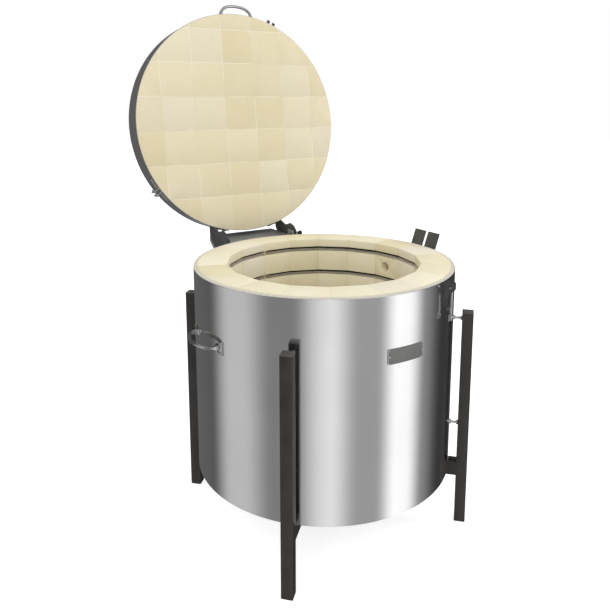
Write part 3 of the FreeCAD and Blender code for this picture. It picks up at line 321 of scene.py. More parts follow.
def makeSteel(name, colour, roughness, spread, stretch, ripple, fine=900.0):
    material, tree, shader = newMaterial(name)
    grain = placeGroup(tree, grainGroup, scale=fine, stretch=stretch, broadScale=steelLook["clouds"])
    dull = tuple(c * steelLook["dull"] for c in colour)
    feed(tree, shader, {"Metallic": 1.0, "Base Color": mixColour(tree, grain["broad"], dull, colour),
                        "Roughness": mapRange(tree, grain["mask"], toMin=roughness, toMax=roughness + spread)})
    bump(tree, shader, grain["height"], ripple, steelLook["relief"])
    return material


# powder coat: orange peel relief, slightly lighter clouds and rubbed edges
coatLook = {"peel": 1400.0, "clouds": 18.0, "detail": 2.0, "lighter": 1.25, "lift": 0.004, "spread": 0.12,
            "bump": 0.25, "relief": 0.0002}


def makePaint(name, colour, roughness, wearColour, wear):
    material, tree, shader = newMaterial(name)
    grain = placeGroup(tree, grainGroup, scale=coatLook["peel"], broadScale=coatLook["clouds"],
                       detail=coatLook["detail"])
    edge = placeGroup(tree, wearGroup, amount=wear)
    lighter = tuple(min(1.0, c * coatLook["lighter"] + coatLook["lift"]) for c in colour)
    base = mixColour(tree, grain["broad"], colour, lighter)
    feed(tree, shader, {"Base Color": mixColour(tree, edge["mask"], base, wearColour),
                        "Roughness": mapRange(tree, grain["broad"], toMin=roughness,
                                              toMax=roughness + coatLook["spread"])})
    bump(tree, shader, grain["height"], coatLook["bump"], coatLook["relief"])
    return material


# insulating firebrick: a tone and a greyness for each brick, pores in patches and a few larger specks
brickLook = {"grain": 700.0, "clouds": 9.0, "detail": 6.0, "tone": 0.38, "cloudShare": 0.25, "secondDraw": 7.31,
             "greyFrom": 0.60, "greyMost": 0.75, "pores": 420.0, "patches": 60.0, "specks": 42.0,
             "poreStops": ((0.0, 1.0), (0.10, 0.7), (0.22, 0.0)), "patchStops": ((0.5, 0.0), (0.66, 1.0)),
             "speckStops": ((0.0, 1.0), (0.035, 0.8), (0.055, 0.0)), "roughness": 0.95, "shine": 0.15,
             "bump": 0.35, "relief": 0.0004}


def makeBrick(name, light, dark, pale, fleck, tileSpread):
    material, tree, shader = newMaterial(name)
    grain = placeGroup(tree, grainGroup, scale=brickLook["grain"], broadScale=brickLook["clouds"],
                       detail=brickLook["detail"])
    draw = tree.nodes.new("ShaderNodeNewGeometry").outputs["Random Per Island"]
    place = tree.nodes.new("ShaderNodeTexCoord").outputs["Object"]
    tile = mapRange(tree, draw, toMin=brickLook["tone"] - tileSpread, toMax=brickLook["tone"] + tileSpread)
    cloud = calc(tree, "MULTIPLY_ADD", grain["broad"], brickLook["cloudShare"], tile)
    second = calc(tree, "FRACT", calc(tree, "MULTIPLY", draw, brickLook["secondDraw"]))
    greyness = mapRange(tree, second, fromMin=brickLook["greyFrom"], toMax=brickLook["greyMost"])
    base = mixColour(tree, greyness, mixColour(tree, cloud, dark, light), pale)
    pores = addNode(tree, "ShaderNodeTexVoronoi", {"Vector": place, "Scale": brickLook["pores"]})
    patches = addNode(tree, "ShaderNodeTexNoise", {"Vector": place, "Scale": brickLook["patches"], "Detail": 2.0})
    specks = addNode(tree, "ShaderNodeTexVoronoi", {"Vector": place, "Scale": brickLook["specks"]})
    pits = calc(tree, "MULTIPLY", ramp(tree, pores.outputs["Distance"], brickLook["poreStops"]),
                ramp(tree, patches.outputs["Fac"], brickLook["patchStops"]))
    marks = calc(tree, "MAXIMUM", pits, ramp(tree, specks.outputs["Distance"], brickLook["speckStops"]))
    feed(tree, shader, {"Base Color": mixColour(tree, marks, base, fleck), "Roughness": brickLook["roughness"],
                        "Specular IOR Level": brickLook["shine"]})
    bump(tree, shader, calc(tree, "SUBTRACT", grain["height"], pits), brickLook["bump"], brickLook["relief"])
    return material


# cast, moulded or fibrous stuff with a cloudy tone and a fine grain
plainLook = {"clouds": 25.0, "detail": 4.0, "relief": 0.0005}


def makePlain(name, colour, roughness, clouds, grainScale, bumpStrength):
    material, tree, shader = newMaterial(name)
    grain = placeGroup(tree, grainGroup, scale=grainScale, broadScale=plainLook["clouds"],
                       detail=plainLook["detail"])
    darker = tuple(c * (1.0 - clouds) for c in colour)
    feed(tree, shader, {"Base Color": mixColour(tree, grain["mask"], darker, colour), "Roughness": roughness})
    bump(tree, shader, grain["height"], bumpStrength, plainLook["relief"])
    return material


# dry paste and dark joint lines on brick, and the painted shade in the grooves, in pale and dull patches
pasteLook = {"grain": 300.0, "clouds": 7.0, "detail": 3.0, "stops": ((0.42, 0.0), (0.56, 1.0)),
             "roughness": 0.95, "shine": 0.1}


def makePaste(name, pale, dull):
    material, tree, shader = newMaterial(name)
    grain = placeGroup(tree, grainGroup, scale=pasteLook["grain"], broadScale=pasteLook["clouds"],
                       detail=pasteLook["detail"])
    patch = ramp(tree, grain["broad"], pasteLook["stops"])
    feed(tree, shader, {"Base Color": mixColour(tree, patch, dull, pale), "Roughness": pasteLook["roughness"],
                        "Specular IOR Level": pasteLook["shine"]})
    return material


# steel: colour, roughness and its spread, stretch of the grain, ripple; paint: colour, roughness, worn colour,
# wear; brick: light, dark, pale, fleck, spread by tile; plain: colour, roughness, clouds, grain, relief
finishes = {
    "polished_steel": makeSteel("polishedJacketSteel", (0.80, 0.80, 0.80), 0.10, 0.05, (1, 1, 0.02), 0.01),
    "bright_steel": makeSteel("zincPlate", (0.54, 0.54, 0.55), 0.26, 0.12, (1, 1, 1), 0.10, 500.0),
    "chrome": makeSteel("chromePlate", (0.52, 0.52, 0.53), 0.06, 0.03, (1, 1, 1), 0.02, 300.0),
    "galvanised_sheet": makeSteel("galvanisedSheet", (0.55, 0.56, 0.57), 0.42, 0.15, (1, 1, 1), 0.15, 120.0),
    "heating_wire": makePlain("oxidisedWire", (0.72, 0.64, 0.54), 0.5, 0.35, 900.0, 0.3),
    "firebrick": makeBrick("chamberBrick", (0.90, 0.85, 0.68), (0.79, 0.715, 0.49), (0.86, 0.815, 0.73),
                           (0.42, 0.33, 0.20), 0.44),
    "lid_firebrick": makeBrick("lidBrick", (0.80, 0.72, 0.52), (0.72, 0.63, 0.41), (0.79, 0.725, 0.57),
                               (0.34, 0.26, 0.15), 0.34),
    "fibre": makePlain("fibreBlanket", (0.80, 0.76, 0.66), 0.98, 0.34, 420.0, 0.9),
    "fibre_board": makePlain("fibreBoard", (0.85, 0.82, 0.73), 0.95, 0.06, 300.0, 0.3),
    "ceramic": makePlain("denseCeramic", (0.66, 0.57, 0.41), 0.6, 0.12, 200.0, 0.1),
    "grey_paint": makePaint("greyPowderCoat", (0.185, 0.190, 0.192), 0.38, (0.42, 0.42, 0.42), 0.35),
    "dark_paint": makePaint("darkPowderCoat", (0.046, 0.047, 0.046), 0.33, (0.30, 0.30, 0.30), 0.35),
    "leg_paint": makePaint("legPowderCoat", (0.022, 0.019, 0.017), 0.38, (0.12, 0.115, 0.11), 0.30),
    "badge_black": makePaint("badgePlate", (0.120, 0.120, 0.116), 0.40, (0.4, 0.4, 0.4), 0.20),
    "black_plastic": makePlain("blackKnobPlastic", (0.02, 0.02, 0.02), 0.42, 0.2, 700.0, 0.1),
}
capPaint = makePaint("legCapPaint", (0.075, 0.073, 0.068), 0.42, (0.2, 0.2, 0.19), 0.30)
slotOf = {row["node"]: row["material_slot"] for row in frame["record"]["subparts"]}
for node, item in frame["nodes"].items():
    item.data.materials.clear()
    item.data.materials.append(finishes[slotOf[node]])
print("stage: materials made")


# CAD pieces whose edges only need rounding: edge width in metres
softEdges = {
    "wall_bricks": 0.0006, "floor_tiles": 0.0008, "lid_tiles": 0.0008, "floor_board": 0.0010,
    "leg_front_left": 0.0009, "leg_front_right": 0.0009, "leg_back_left": 0.0009, "leg_back_right": 0.0009,
    "leg_caps": 0.0007, "leg_feet": 0.0010, "hinge_console": 0.0008, "hinge_arm_left": 0.0009,
    "hinge_arm_right": 0.0009, "terminal_box": 0.0008, "terminal_cover": 0.0008, "latch_base": 0.0006,
    "lid_fork": 0.0007, "controller_holder": 0.0007, "band_clamp": 0.0005, "clamp_screw": 0.0004,
    "arm_screws": 0.0004, "console_screws": 0.0004, "cover_screws": 0.0004, "holder_screws": 0.0004,
    "carrier_screws": 0.0004, "tie_rods": 0.0004, "hinge_nuts": 0.0005, "hinge_bolts": 0.0006,
    "terminal_blocks": 0.0010, "lead_sleeves": 0.0003, "port_sleeve": 0.0008, "lock_collar": 0.0005,
    "base_plate": 0.0003,
}
softening = {"merge": 1e-6, "flatAngle": 1.0, "bevelAngle": 35.0, "segments": 2, "sharpAngle": 40.0}
bodyOf = {node: body for body, members in frame["record"]["behaviour"]["bodies"].items() for node in members}


# copy of a CAD node with its flat faces joined and its edges rounded
def softCopy(node, name, width):
    bm = bmesh.new()
    bm.from_mesh(frame["nodes"][node].data)
    bmesh.ops.remove_doubles(bm, verts=bm.verts, dist=softening["merge"])
    bmesh.ops.dissolve_limit(bm, angle_limit=math.radians(softening["flatAngle"]), verts=bm.verts, edges=bm.edges)
    mesh = bpy.data.meshes.new(name)
    bm.to_mesh(mesh)
    bm.free()
    piece = bpy.data.objects.new(name, mesh)
    bpy.context.scene.collection.objects.link(piece)
    bevel = piece.modifiers.new("edges", "BEVEL")
    bevel.width = width
    bevel.segments = softening["segments"]
    bevel.limit_method = "ANGLE"
    bevel.angle_limit = math.radians(softening["bevelAngle"])
    bevel.use_clamp_overlap = True
    bevel.harden_normals = False
    applyModifiers(piece)
    sharpen(piece, softening["sharpAngle"])
    return piece


def softenPieces():
    for node, width in softEdges.items():
        first, *rest = node.split("_")
        piece = softCopy(node, first + "".join(word.capitalize() for word in rest) + "Soft", width)
        dress(piece, bodyOf[node], slotOf[node], node, material=capPaint if node == "leg_caps" else None)


softenPieces()
print("stage: edges rounded")


# drum jacket and lid band: fine smooth sheet in place of the faceted one
jacketSheet = {"sides": 288, "thick": 0.001, "edge": 0.0003, "portRadius": 0.0132, "portFrom": 0.25, "portLong": 0.15,
               "portSides": 40, "windowLow": (-0.050, 0.28, 0.270), "windowHigh": (-0.016, 0.34, 0.632), "sharp": 35.0}
bandSheet = {"low": 0.6541, "high": 0.7193, "thick": 0.0012, "edge": 0.0004}


# sheet rolled round the upright axis, its outer edges eased
def rolledSheet(low, high, thick, edge, place=lambda spot: spot):
    inner, outer = drum["radius"] - thick, drum["radius"]
    profile = [(inner, low), (outer - edge, low), (outer, low + edge), (outer, high - edge), (outer - edge, high),
               (inner, high)]
    sides = jacketSheet["sides"]
    verts = [place(atTurn(2 * math.pi * side / sides, radius, height)) for side in range(sides)
             for radius, height in profile]
    return verts, ringFaces(sides, len(profile), loop=True, flipped=True)


def cutBores(piece, cutters):
    for number, cutter in enumerate(cutters):
        modifier = piece.modifiers.new("bore%d" % number, "BOOLEAN")
        modifier.operation = "DIFFERENCE"
        modifier.solver = "EXACT"
        modifier.object = cutter
    applyModifiers(piece)
    for cutter in cutters:
        bpy.data.objects.remove(cutter)


def buildJacket():
    sheet = rolledSheet(drum["low"], drum["rim"], jacketSheet["thick"], jacketSheet["edge"])
    piece = makePiece("jacketSheet", *sheet)
    low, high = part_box("port_sleeve")
    start = (jacketSheet["portFrom"], (low[1] + high[1]) / 2, (low[2] + high[2]) / 2)
    rod = [(0, jacketSheet["portRadius"]), (jacketSheet["portLong"], jacketSheet["portRadius"])]
    bore = makePiece("portCutter", *lathe(rod, start, (1, 0, 0), jacketSheet["portSides"], (0, 1, 0)))
    window = makePiece("leadCutter", *boxMesh(jacketSheet["windowLow"], jacketSheet["windowHigh"]))
    cutBores(piece, [bore, window])
    sharpen(piece, jacketSheet["sharp"])
    dress(piece, "kiln", "polished_steel", "jacket")


def buildBand():
    sheet = rolledSheet(bandSheet["low"], bandSheet["high"], bandSheet["thick"], bandSheet["edge"], swingLid)
    addPiece("lidBandSheet", sheet, "lid", "polished_steel", "lid_band", sharp=jacketSheet["sharp"])


buildJacket()
buildBand()
print("stage: sheet metal done")


# heating coils: wound wire that follows the flats of each groove
coil = {"count": 6, "pitch": 0.068, "top": 0.6235, "radius": 0.0026, "wire": 0.0010, "wireSides": 5,
        "winding": 0.0034, "flat": 0.2430, "facets": 18, "steps": 9, "leads": (-0.0260, -0.0400)}


# corners of one coil's centre line, from one lead round the chamber to the other
def coilPath(height):
    reach = coil["flat"] / math.cos(math.pi / coil["facets"])
    half = 180.0 / coil["facets"]
    first, last = (Vector((x, coil["flat"], height)) for x in coil["leads"])
    corners = [onDrum(180 - half * (2 * k - 1), reach, height) for k in range(1, coil["facets"])]
    return [first, *corners, onDrum(180 + half, reach, height), last]


# one coil: a helix drawn round its centre line, at an even pace along it
def woundCoil(corners):
    lengths = [(b - a).length for a, b in zip(corners, corners[1:])]
    total = sum(lengths)
    steps = int(total / coil["winding"]) * coil["steps"]
    points = []
    segment, passed = 0, 0.0
    for step in range(steps + 1):
        goal = total * step / steps
        while segment < len(lengths) - 1 and goal > passed + lengths[segment]:
            passed += lengths[segment]
            segment += 1
        share = min(1.0, (goal - passed) / lengths[segment])
        centre = corners[segment].lerp(corners[segment + 1], share)
        outward = Vector((centre.x, centre.y, 0)).normalized()
        angle = 2 * math.pi * step / coil["steps"]
        points.append(centre + outward * coil["radius"] * math.cos(angle) + up * coil["radius"] * math.sin(angle))
    return tubeAlong(points, coil["wire"], coil["wireSides"])


def buildCoils():
    coils = [woundCoil(coilPath(coil["top"] - number * coil["pitch"])) for number in range(coil["count"])]
    dress(makePiece("woundCoils", *joinParts(coils)), "kiln", "heating_wire", "heating_coils")


buildCoils()
print("stage: coils wound")


# corners of an outline rounded by a short curve each
def roundedOutline(points, radius, steps=4):
    outline = []
    for index, point in enumerate(points):
        corner = Vector(point)
        before = Vector(points[index - 1]) - corner
        after = Vector(points[(index + 1) % len(points)]) - corner
        reach = min(radius, before.length * 0.45, after.length * 0.45)
        first = corner + before.normalized() * reach
        last = corner + after.normalized() * reach
        for step in range(steps + 1):
            share = step / steps
            outline.append((1 - share) ** 2 * first + 2 * share * (1 - share) * corner + share ** 2 * last)
    return outline


# plate wrapped round the drum, from an outline of (arc length, height) points, its outer edge eased
def wrappedPlate(outline, azimuth, height, inner, outer, edge=0.0005):
    centre = sum(outline, Vector((0, 0))) / len(outline)
    layers = [(inner, 0.0), (outer - edge, 0.0), (outer - edge * 0.3, edge * 0.7), (outer, edge * 1.6)]
    verts = []
    for radius, inset in layers:
        for spot in outline:
            away = spot - centre
            pulled = centre + away * (1 - inset / max(away.length, 1e-6))
            verts.append(onDrum(azimuth + math.degrees(pulled.x / drum["radius"]), radius, height + pulled.y))
    return verts, ringFaces(len(layers), len(outline))


# pan head with a shallow dimple, its axis pointing out of the drum: (share of height, share of radius) pairs
screwHead = {"radius": 0.0030, "tall": 0.0018, "sides": 18,
             "shape": ((0.0, 1.0), (0.35, 1.0), (0.75, 0.82), (1.0, 0.45), (0.78, 0.30), (0.74, 0.02))}


def domeScrew(azimuth, height, seat):
    profile = [(screwHead["tall"] * along, screwHead["radius"] * across) for along, across in screwHead["shape"]]
    return lathe(profile, onDrum(azimuth, seat, height), onDrum(azimuth, 1.0, 0.0), screwHead["sides"], (0, 0, 1))


# bow handles: round rod on two pressed feet, which are wider at the outer edge
skin = drum["radius"] + 0.0002
bow = {"steps": 40, "rodSides": 16, "flare": 0.45, "flareSteps": 5.0, "footThick": 0.0026, "footCorner": 0.004,
       "footInner": 0.42, "footOuter": 0.50, "screwOut": 0.26, "screwLift": 0.62, "sharp": 50.0}
sideHandle = {"height": 0.508, "half": 0.061, "reach": 0.0322, "rod": 0.0047, "fullness": 2.15,
              "footWide": 0.030, "footTall": 0.034, "footNeck": 0.013}
lidHandle = {"height": 0.6863, "half": 0.050, "reach": 0.0308, "rod": 0.0040, "fullness": 2.5,
             "footWide": 0.018, "footTall": 0.024, "footNeck": 0.014, "azimuth": 3.8}


# meshes of one handle with its feet, and of its screws
def bowHandle(shape, azimuth):
    outward, aside = drumAxes(azimuth)
    base = math.sqrt(drum["radius"] ** 2 - shape["half"] ** 2)
    rise = drum["radius"] + shape["reach"] - base
    power = 2.0 / shape["fullness"]
    points, radii = [], []
    for step in range(bow["steps"] + 1):
        turn = math.pi * step / bow["steps"]
        across = shape["half"] * math.copysign(abs(math.cos(turn)) ** power, math.cos(turn))
        out = base + rise * abs(math.sin(turn)) ** power
        points.append(outward * out - aside * across + up * shape["height"])
        nearEnd = min(step, bow["steps"] - step) / bow["flareSteps"]
        radii.append(shape["rod"] * (1.0 + bow["flare"] * max(0.0, 1.0 - nearEnd)))
    parts = [tubeAlong(points, radii, bow["rodSides"])]
    screws = []
    wide, tall, neck = shape["footWide"], shape["footTall"] / 2, shape["footNeck"] / 2
    seat = skin + bow["footThick"]
    for side in (-1, 1):
        inner = side * (shape["half"] - wide * bow["footInner"])
        outer = side * (shape["half"] + wide * bow["footOuter"])
        corners = [(inner, -neck), (outer, -tall), (outer, tall), (inner, neck)][::side]
        outline = roundedOutline(corners, bow["footCorner"])
        parts.append(wrappedPlate(outline, azimuth, shape["height"], skin, seat))
        spot = side * (shape["half"] + wide * bow["screwOut"])
        for lift in (-bow["screwLift"], bow["screwLift"]):
            screws.append(domeScrew(azimuth + math.degrees(spot / drum["radius"]), shape["height"] + lift * tall, seat))
    return joinParts(parts), joinParts(screws)


def buildHandles():
    screws = []
    for azimuth, name, node in ((-90, "sideBowLeft", "side_handle_left"), (90, "sideBowRight", "side_handle_right")):
        rod, heads = bowHandle(sideHandle, azimuth)
        addPiece(name, rod, "kiln", "chrome", node, sharp=bow["sharp"])
        screws.append(heads)
    addPiece("sideBowScrews", joinParts(screws), "kiln", "bright_steel", "handle_screws")
    rod, heads = bowHandle(lidHandle, lidHandle["azimuth"])
    for name, (verts, faces), slotName, node in (("lidBow", rod, "chrome", "lid_handle"),
                                                 ("lidBowScrews", heads, "bright_steel", "lid_handle_screws")):
        addPiece(name, ([swingLid(spot) for spot in verts], faces), "lid", slotName, node, sharp=bow["sharp"])


buildHandles()
print("stage: handles bent")


# swing bolt, hanging with the lid open: eye, threaded shank and winged nut
latch = {"azimuth": 25.0, "pinReach": 0.335, "pinHeight": 0.636}
swingBolt = {"eye": 0.0060, "eyeWide": 0.0120, "eyeEdge": 0.0008, "eyeSides": 24, "bore": 0.00306, "shank": 0.0030,
             "shankSides": 20, "shankFrom": 0.72, "crest": 0.98, "tip": 0.75, "end": 0.0766, "threadStart": 0.030,
             "pitch": 0.00125, "depth": 0.00032, "sharp": 40.0}
wingNut = {"seat": 0.0636, "tall": 0.0090, "barrel": 0.0055, "neck": 0.80, "foot": 0.86, "play": 0.0001, "sides": 24,
           "corner": 0.0022, "cornerSteps": 3, "sharp": 45.0,
           "wing": ((0.0042, -0.12), (0.0110, -0.42), (0.0130, -1.45), (0.0085, -1.30), (0.0042, -0.70)),
           "layers": ((-0.0012, 0.93), (-0.0007, 1.0), (0.0007, 1.0), (0.0012, 0.93))}


# place beside the latch: x across it, out from the drum's axis, z up
def atLatch(x, out, z):
    outward, aside = drumAxes(latch["azimuth"])
    return outward * out + aside * x + up * z


def buildSwingBolt():
    half, edge, sides = swingBolt["eyeWide"] / 2, swingBolt["eyeEdge"], swingBolt["eyeSides"]
    rings = [(-half, swingBolt["bore"]), (-half, swingBolt["eye"] - edge), (-half + edge, swingBolt["eye"]),
             (half - edge, swingBolt["eye"]), (half, swingBolt["eye"] - edge), (half, swingBolt["bore"])]
    verts = []
    for x, radius in rings:
        for corner in range(sides):
            turn = 2 * math.pi * corner / sides
            verts.append(atLatch(x, latch["pinReach"] + radius * math.cos(turn),
                                 latch["pinHeight"] + radius * math.sin(turn)))
    eye = (verts, ringFaces(len(rings), sides, loop=True))
    crest = swingBolt["shank"] * swingBolt["crest"]
    along = swingBolt["threadStart"]
    profile = [(swingBolt["eye"] * swingBolt["shankFrom"], crest), (along, crest)]
    while along < swingBolt["end"] - swingBolt["pitch"]:
        profile.append((along + swingBolt["pitch"] * 0.5, swingBolt["shank"] - swingBolt["depth"]))
        profile.append((along + swingBolt["pitch"], crest))
        along += swingBolt["pitch"]
    profile.append((swingBolt["end"], swingBolt["shank"] * swingBolt["tip"]))
    shank = lathe(profile, atLatch(0, latch["pinReach"], latch["pinHeight"]), (0, 0, -1), swingBolt["shankSides"])
    addPiece("threadedSwingBolt", joinParts([eye, shank]), "latch_bolt", "bright_steel", "swing_bolt",
             sharp=swingBolt["sharp"])


def buildWingNut():
    top, tall = latch["pinHeight"] - wingNut["seat"], wingNut["tall"]
    barrel, bore = wingNut["barrel"], swingBolt["shank"] + wingNut["play"]
    profile = [(0.0, bore), (0.0, barrel * wingNut["foot"]), (tall * 0.06, barrel), (tall * 0.30, barrel),
               (tall * 0.78, barrel * wingNut["neck"]), (tall * 0.8, bore)]
    parts = [lathe(profile, atLatch(0, latch["pinReach"], top), (0, 0, -1), wingNut["sides"])]
    outline = roundedOutline([(x, tall * z) for x, z in wingNut["wing"]], wingNut["corner"], wingNut["cornerSteps"])
    centre = sum(outline, Vector((0, 0))) / len(outline)
    for side in (-1, 1):
        verts = []
        for thick, inset in wingNut["layers"]:
            for spot in outline:
                pulled = centre + (spot - centre) * inset
                verts.append(atLatch(side * pulled.x, latch["pinReach"] + thick, top + pulled.y))
        parts.append((verts, ringFaces(len(wingNut["layers"]), len(outline))))
    addPiece("wingedNut", joinParts(parts), "latch_nut", "bright_steel", "wing_nut", sharp=wingNut["sharp"])


buildSwingBolt()
buildWingNut()
print("stage: latch made")


# bare badge plate: dark face in narrow upright strips, inside a bright raised border
badge = {"wide": 0.096, "tall": 0.034, "height": 0.517, "thick": 0.0012, "border": 0.0016, "corner": 0.0035,
         "cornerSteps": 5, "play": 0.0002, "columns": 48, "faceShare": 0.7, "borderFoot": 0.6, "sharp": 30.0}


def buildBadgeFace():
    half, columns = badge["wide"] / 2 - badge["play"], badge["columns"]
    front = skin + badge["thick"] * badge["faceShare"]
    verts = []
    for column in range(columns + 1):
        x = -half + 2 * half * column / columns
        past = max(0.0, abs(x) - (half - badge["corner"]))
        rise = badge["tall"] / 2 - badge["corner"] + math.sqrt(max(0.0, badge["corner"] ** 2 - past ** 2))
        for radius, z in ((skin, -rise), (front, -rise), (front, rise), (skin, rise)):
            verts.append(onDrum(math.degrees(x / drum["radius"]), radius, badge["height"] + z))
    addPiece("badgeFace", (verts, ringFaces(columns + 1, 4, flipped=True)), "kiln", "badge_black", "badge_plate",
             sharp=badge["sharp"])


def badgeOutline(inset):
    x, y = badge["wide"] / 2 - inset, badge["tall"] / 2 - inset
    return roundedOutline([(-x, -y), (x, -y), (x, y), (-x, y)], badge["corner"] - inset, badge["cornerSteps"])


def buildBadgeBorder():
    outer, inner = badgeOutline(0), badgeOutline(badge["border"])
    low, high = skin + badge["thick"] * badge["borderFoot"], skin + badge["thick"]
    verts = [onDrum(math.degrees(spot.x / drum["radius"]), radius, badge["height"] + spot.y)
             for outline, radius in ((outer, low), (outer, high), (inner, high), (inner, low)) for spot in outline]
    addPiece("badgeBorder", (verts, ringFaces(4, len(outer), loop=True)), "kiln", "bright_steel", sharp=badge["sharp"])


buildBadgeFace()
buildBadgeBorder()
print("stage: badge made")


# joints between the bricks: pale paste just inside the lid's face, thin lines in the corners of the chamber
lidPaste = {"sink": 0.00012, "inset": 0.0008, "deep": 0.006, "sides": 144}
wallLine = {"wide": 0.0010, "sink": 0.0007, "deep": 0.001, "top": 0.0008}


def buildLidPaste():
    tiles = frame["nodes"]["lid_tiles"]
    spots = [swingLid(tiles.matrix_world @ vert.co, -1) for vert in tiles.data.vertices]
    face = min(spot.z for spot in spots)
    reach = max(math.hypot(spot.x, spot.y) for spot in spots) - lidPaste["inset"]
    verts, faces = lathe([(0.0, reach), (lidPaste["deep"], reach)], (0, 0, face + lidPaste["sink"]), (0, 0, 1),
                         lidPaste["sides"], (0, 1, 0))
    addPiece("lidJointPaste", ([swingLid(vert) for vert in verts], faces), "lid", "lid_firebrick", smooth=False,
             material=makePaste("palePaste", (0.88, 0.83, 0.70), (0.74, 0.66, 0.47)))


def buildWallLines():
    near = chamber["flat"] / math.cos(math.pi / coil["facets"]) + wallLine["sink"]
    far = near + wallLine["deep"]
    heights = [drum["brickTop"] - wallLine["top"]]
    for number in range(coil["count"]):
        groove = chamber["grooveFloor"] - number * coil["pitch"]
        heights += [groove + chamber["grooveTall"], groove]
    heights.append(chamber["floor"])
    parts = []
    for side in range(coil["facets"]):
        outward, aside = drumAxes(180.0 / coil["facets"] * (2 * side + 1))
        for top, low in zip(heights[::2], heights[1::2]):
            parts.append(([outward * reach + aside * wallLine["wide"] / 2 * way + up * z for z in (low, top)
                           for reach in (near, far) for way in (-1, 1)], boxFaces))
    addPiece("wallJointLines", joinParts(parts), "kiln", "firebrick", smooth=False,
             material=makePaste("brownJoint", (0.60, 0.50, 0.34), (0.38, 0.29, 0.17)))


# painted shade in the grooves: dark bands on the back wall and ceiling over each coil, where the groove's lip shades
# it; bands of (inner flat, outer flat, low, high) above the groove's floor
grooveShade = {"bands": ((0.2376, 0.2488, 0.01275, 0.01290), (0.2486, 0.2489, 0.0020, 0.0128)), "leadGap": 0.024}


def buildGrooveShade():
    share = math.tan(math.pi / coil["facets"])
    parts = []
    for number in range(coil["count"]):
        floor = chamber["grooveFloor"] - number * coil["pitch"]
        for side in range(coil["facets"]):
            outward, aside = drumAxes(360.0 / coil["facets"] * side)
            for near, far, low, high in grooveShade["bands"]:
                verts = []
                for flat in (near, far):
                    end = min(flat * share, grooveShade["leadGap"]) if side == coil["facets"] / 2 else flat * share
                    verts += [outward * flat + aside * along + up * (floor + z) for along in (-flat * share, end)
                              for z in (low, high)]
                parts.append((verts, boxFaces))
    # near-black painted shade standing in for the shadow above each coil
    addPiece("paintedGrooveShade", joinParts(parts), "kiln", "firebrick", smooth=False,
             material=makePaste("paintedShadeBrick", (0.03, 0.022, 0.013), (0.015, 0.011, 0.007)))


buildLidPaste()
buildWallLines()
buildGrooveShade()
print("stage: joints and paintedShade laid")


# uneven fibre edge round the rim, between the bricks and the sheet
fibreEdge = {"inner": 0.3110, "outer": 0.3188, "low": 0.6460, "top": 0.6528, "sides": 480, "columns": 7,
             "ragged": 0.0016, "rounding": 0.0012, "coarse": 190.0, "fine": 520.0, "fineShare": 0.8}


def buildFibreEdge():
    verts = []
    for side in range(fibreEdge["sides"]):
        turn = 2 * math.pi * side / fibreEdge["sides"]
        for column in range(fibreEdge["columns"]):
            share = column / (fibreEdge["columns"] - 1)
            place = atTurn(turn, fibreEdge["inner"] + (fibreEdge["outer"] - fibreEdge["inner"]) * share, 0.0)
            rough = (noise.noise(place * fibreEdge["coarse"])
                     + fibreEdge["fineShare"] * noise.noise(place * fibreEdge["fine"]))
            lift = -fibreEdge["ragged"] * (0.6 + 0.6 * rough) - fibreEdge["rounding"] * (2 * share - 1) ** 2
            verts.append(place + up * min(fibreEdge["top"], fibreEdge["top"] + lift))
        verts += [atTurn(turn, reach, fibreEdge["low"]) for reach in (fibreEdge["outer"], fibreEdge["inner"])]
    faces = ringFaces(fibreEdge["sides"], fibreEdge["columns"] + 2, loop=True, flipped=True)
    addPiece("raggedFibreEdge", (verts, faces), "kiln", "fibre")


# pull knob of the lid lock, turned from black plastic on its pin
lockKnob = {"grip": 0.012, "sides": 32, "pin": ((0.0, 0.0036), (0.0004, 0.0040)),
            "shoulder": ((0.0001, 0.0040), (0.0001, 0.0056), (0.0005, 0.0062)),
            "round": ((0.0016, 0.80), (0.0046, 0.97), (0.0078, 1.0), (0.0102, 0.88), (0.0116, 0.55), (0.0120, 0.05))}


def buildLockKnob():
    low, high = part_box("lock_knob")
    reach = (high.z - low.z) / 2
    start = high.x - low.x - lockKnob["grip"]
    profile = [*lockKnob["pin"], *((start + along, radius) for along, radius in lockKnob["shoulder"]),
               *((start + along, reach * share) for along, share in lockKnob["round"])]
    knob = lathe(profile, (low.x, (low.y + high.y) / 2, (low.z + high.z) / 2), (1, 0, 0), lockKnob["sides"], (0, 0, 1))
    addPiece("turnedLockKnob", knob, "lock_pin", "black_plastic", "lock_knob")


buildFibreEdge()
buildLockKnob()
print("stage: fibre edge and knob made")


# rays that the camera sees, and those seen in metal or through glass
def lightRays(tree):
    path = tree.nodes.new("ShaderNodeLightPath").outputs
    return path["Is Camera Ray"], calc(tree, "MAXIMUM", path["Is Glossy Ray"], path["Is Transmission Ray"])


studio = {"half": 14.0, "shade": (0.86, 0.86, 0.86), "roughness": 0.9, "shine": 0.1, "glow": 0.62}


def buildFloor():
    half = studio["half"]
    verts = [Vector((x, y, 0.0)) for x, y in ((-half, -half), (half, -half), (half, half), (-half, half))]
    floor = makePiece("studioFloor", verts, [(0, 1, 2, 3)], False)
    material, tree, shader = newMaterial("paleFloor")
    seenRay, mirrorRay = lightRays(tree)
    glow = calc(tree, "MULTIPLY", calc(tree, "MAXIMUM", seenRay, mirrorRay), studio["glow"])
    feed(tree, shader, {"Base Color": studio["shade"], "Roughness": studio["roughness"],
                        "Specular IOR Level": studio["shine"], "Emission Color": (1, 1, 1), "Emission Strength": glow})
    floor.data.materials.append(material)
    floor.visible_glossy = False


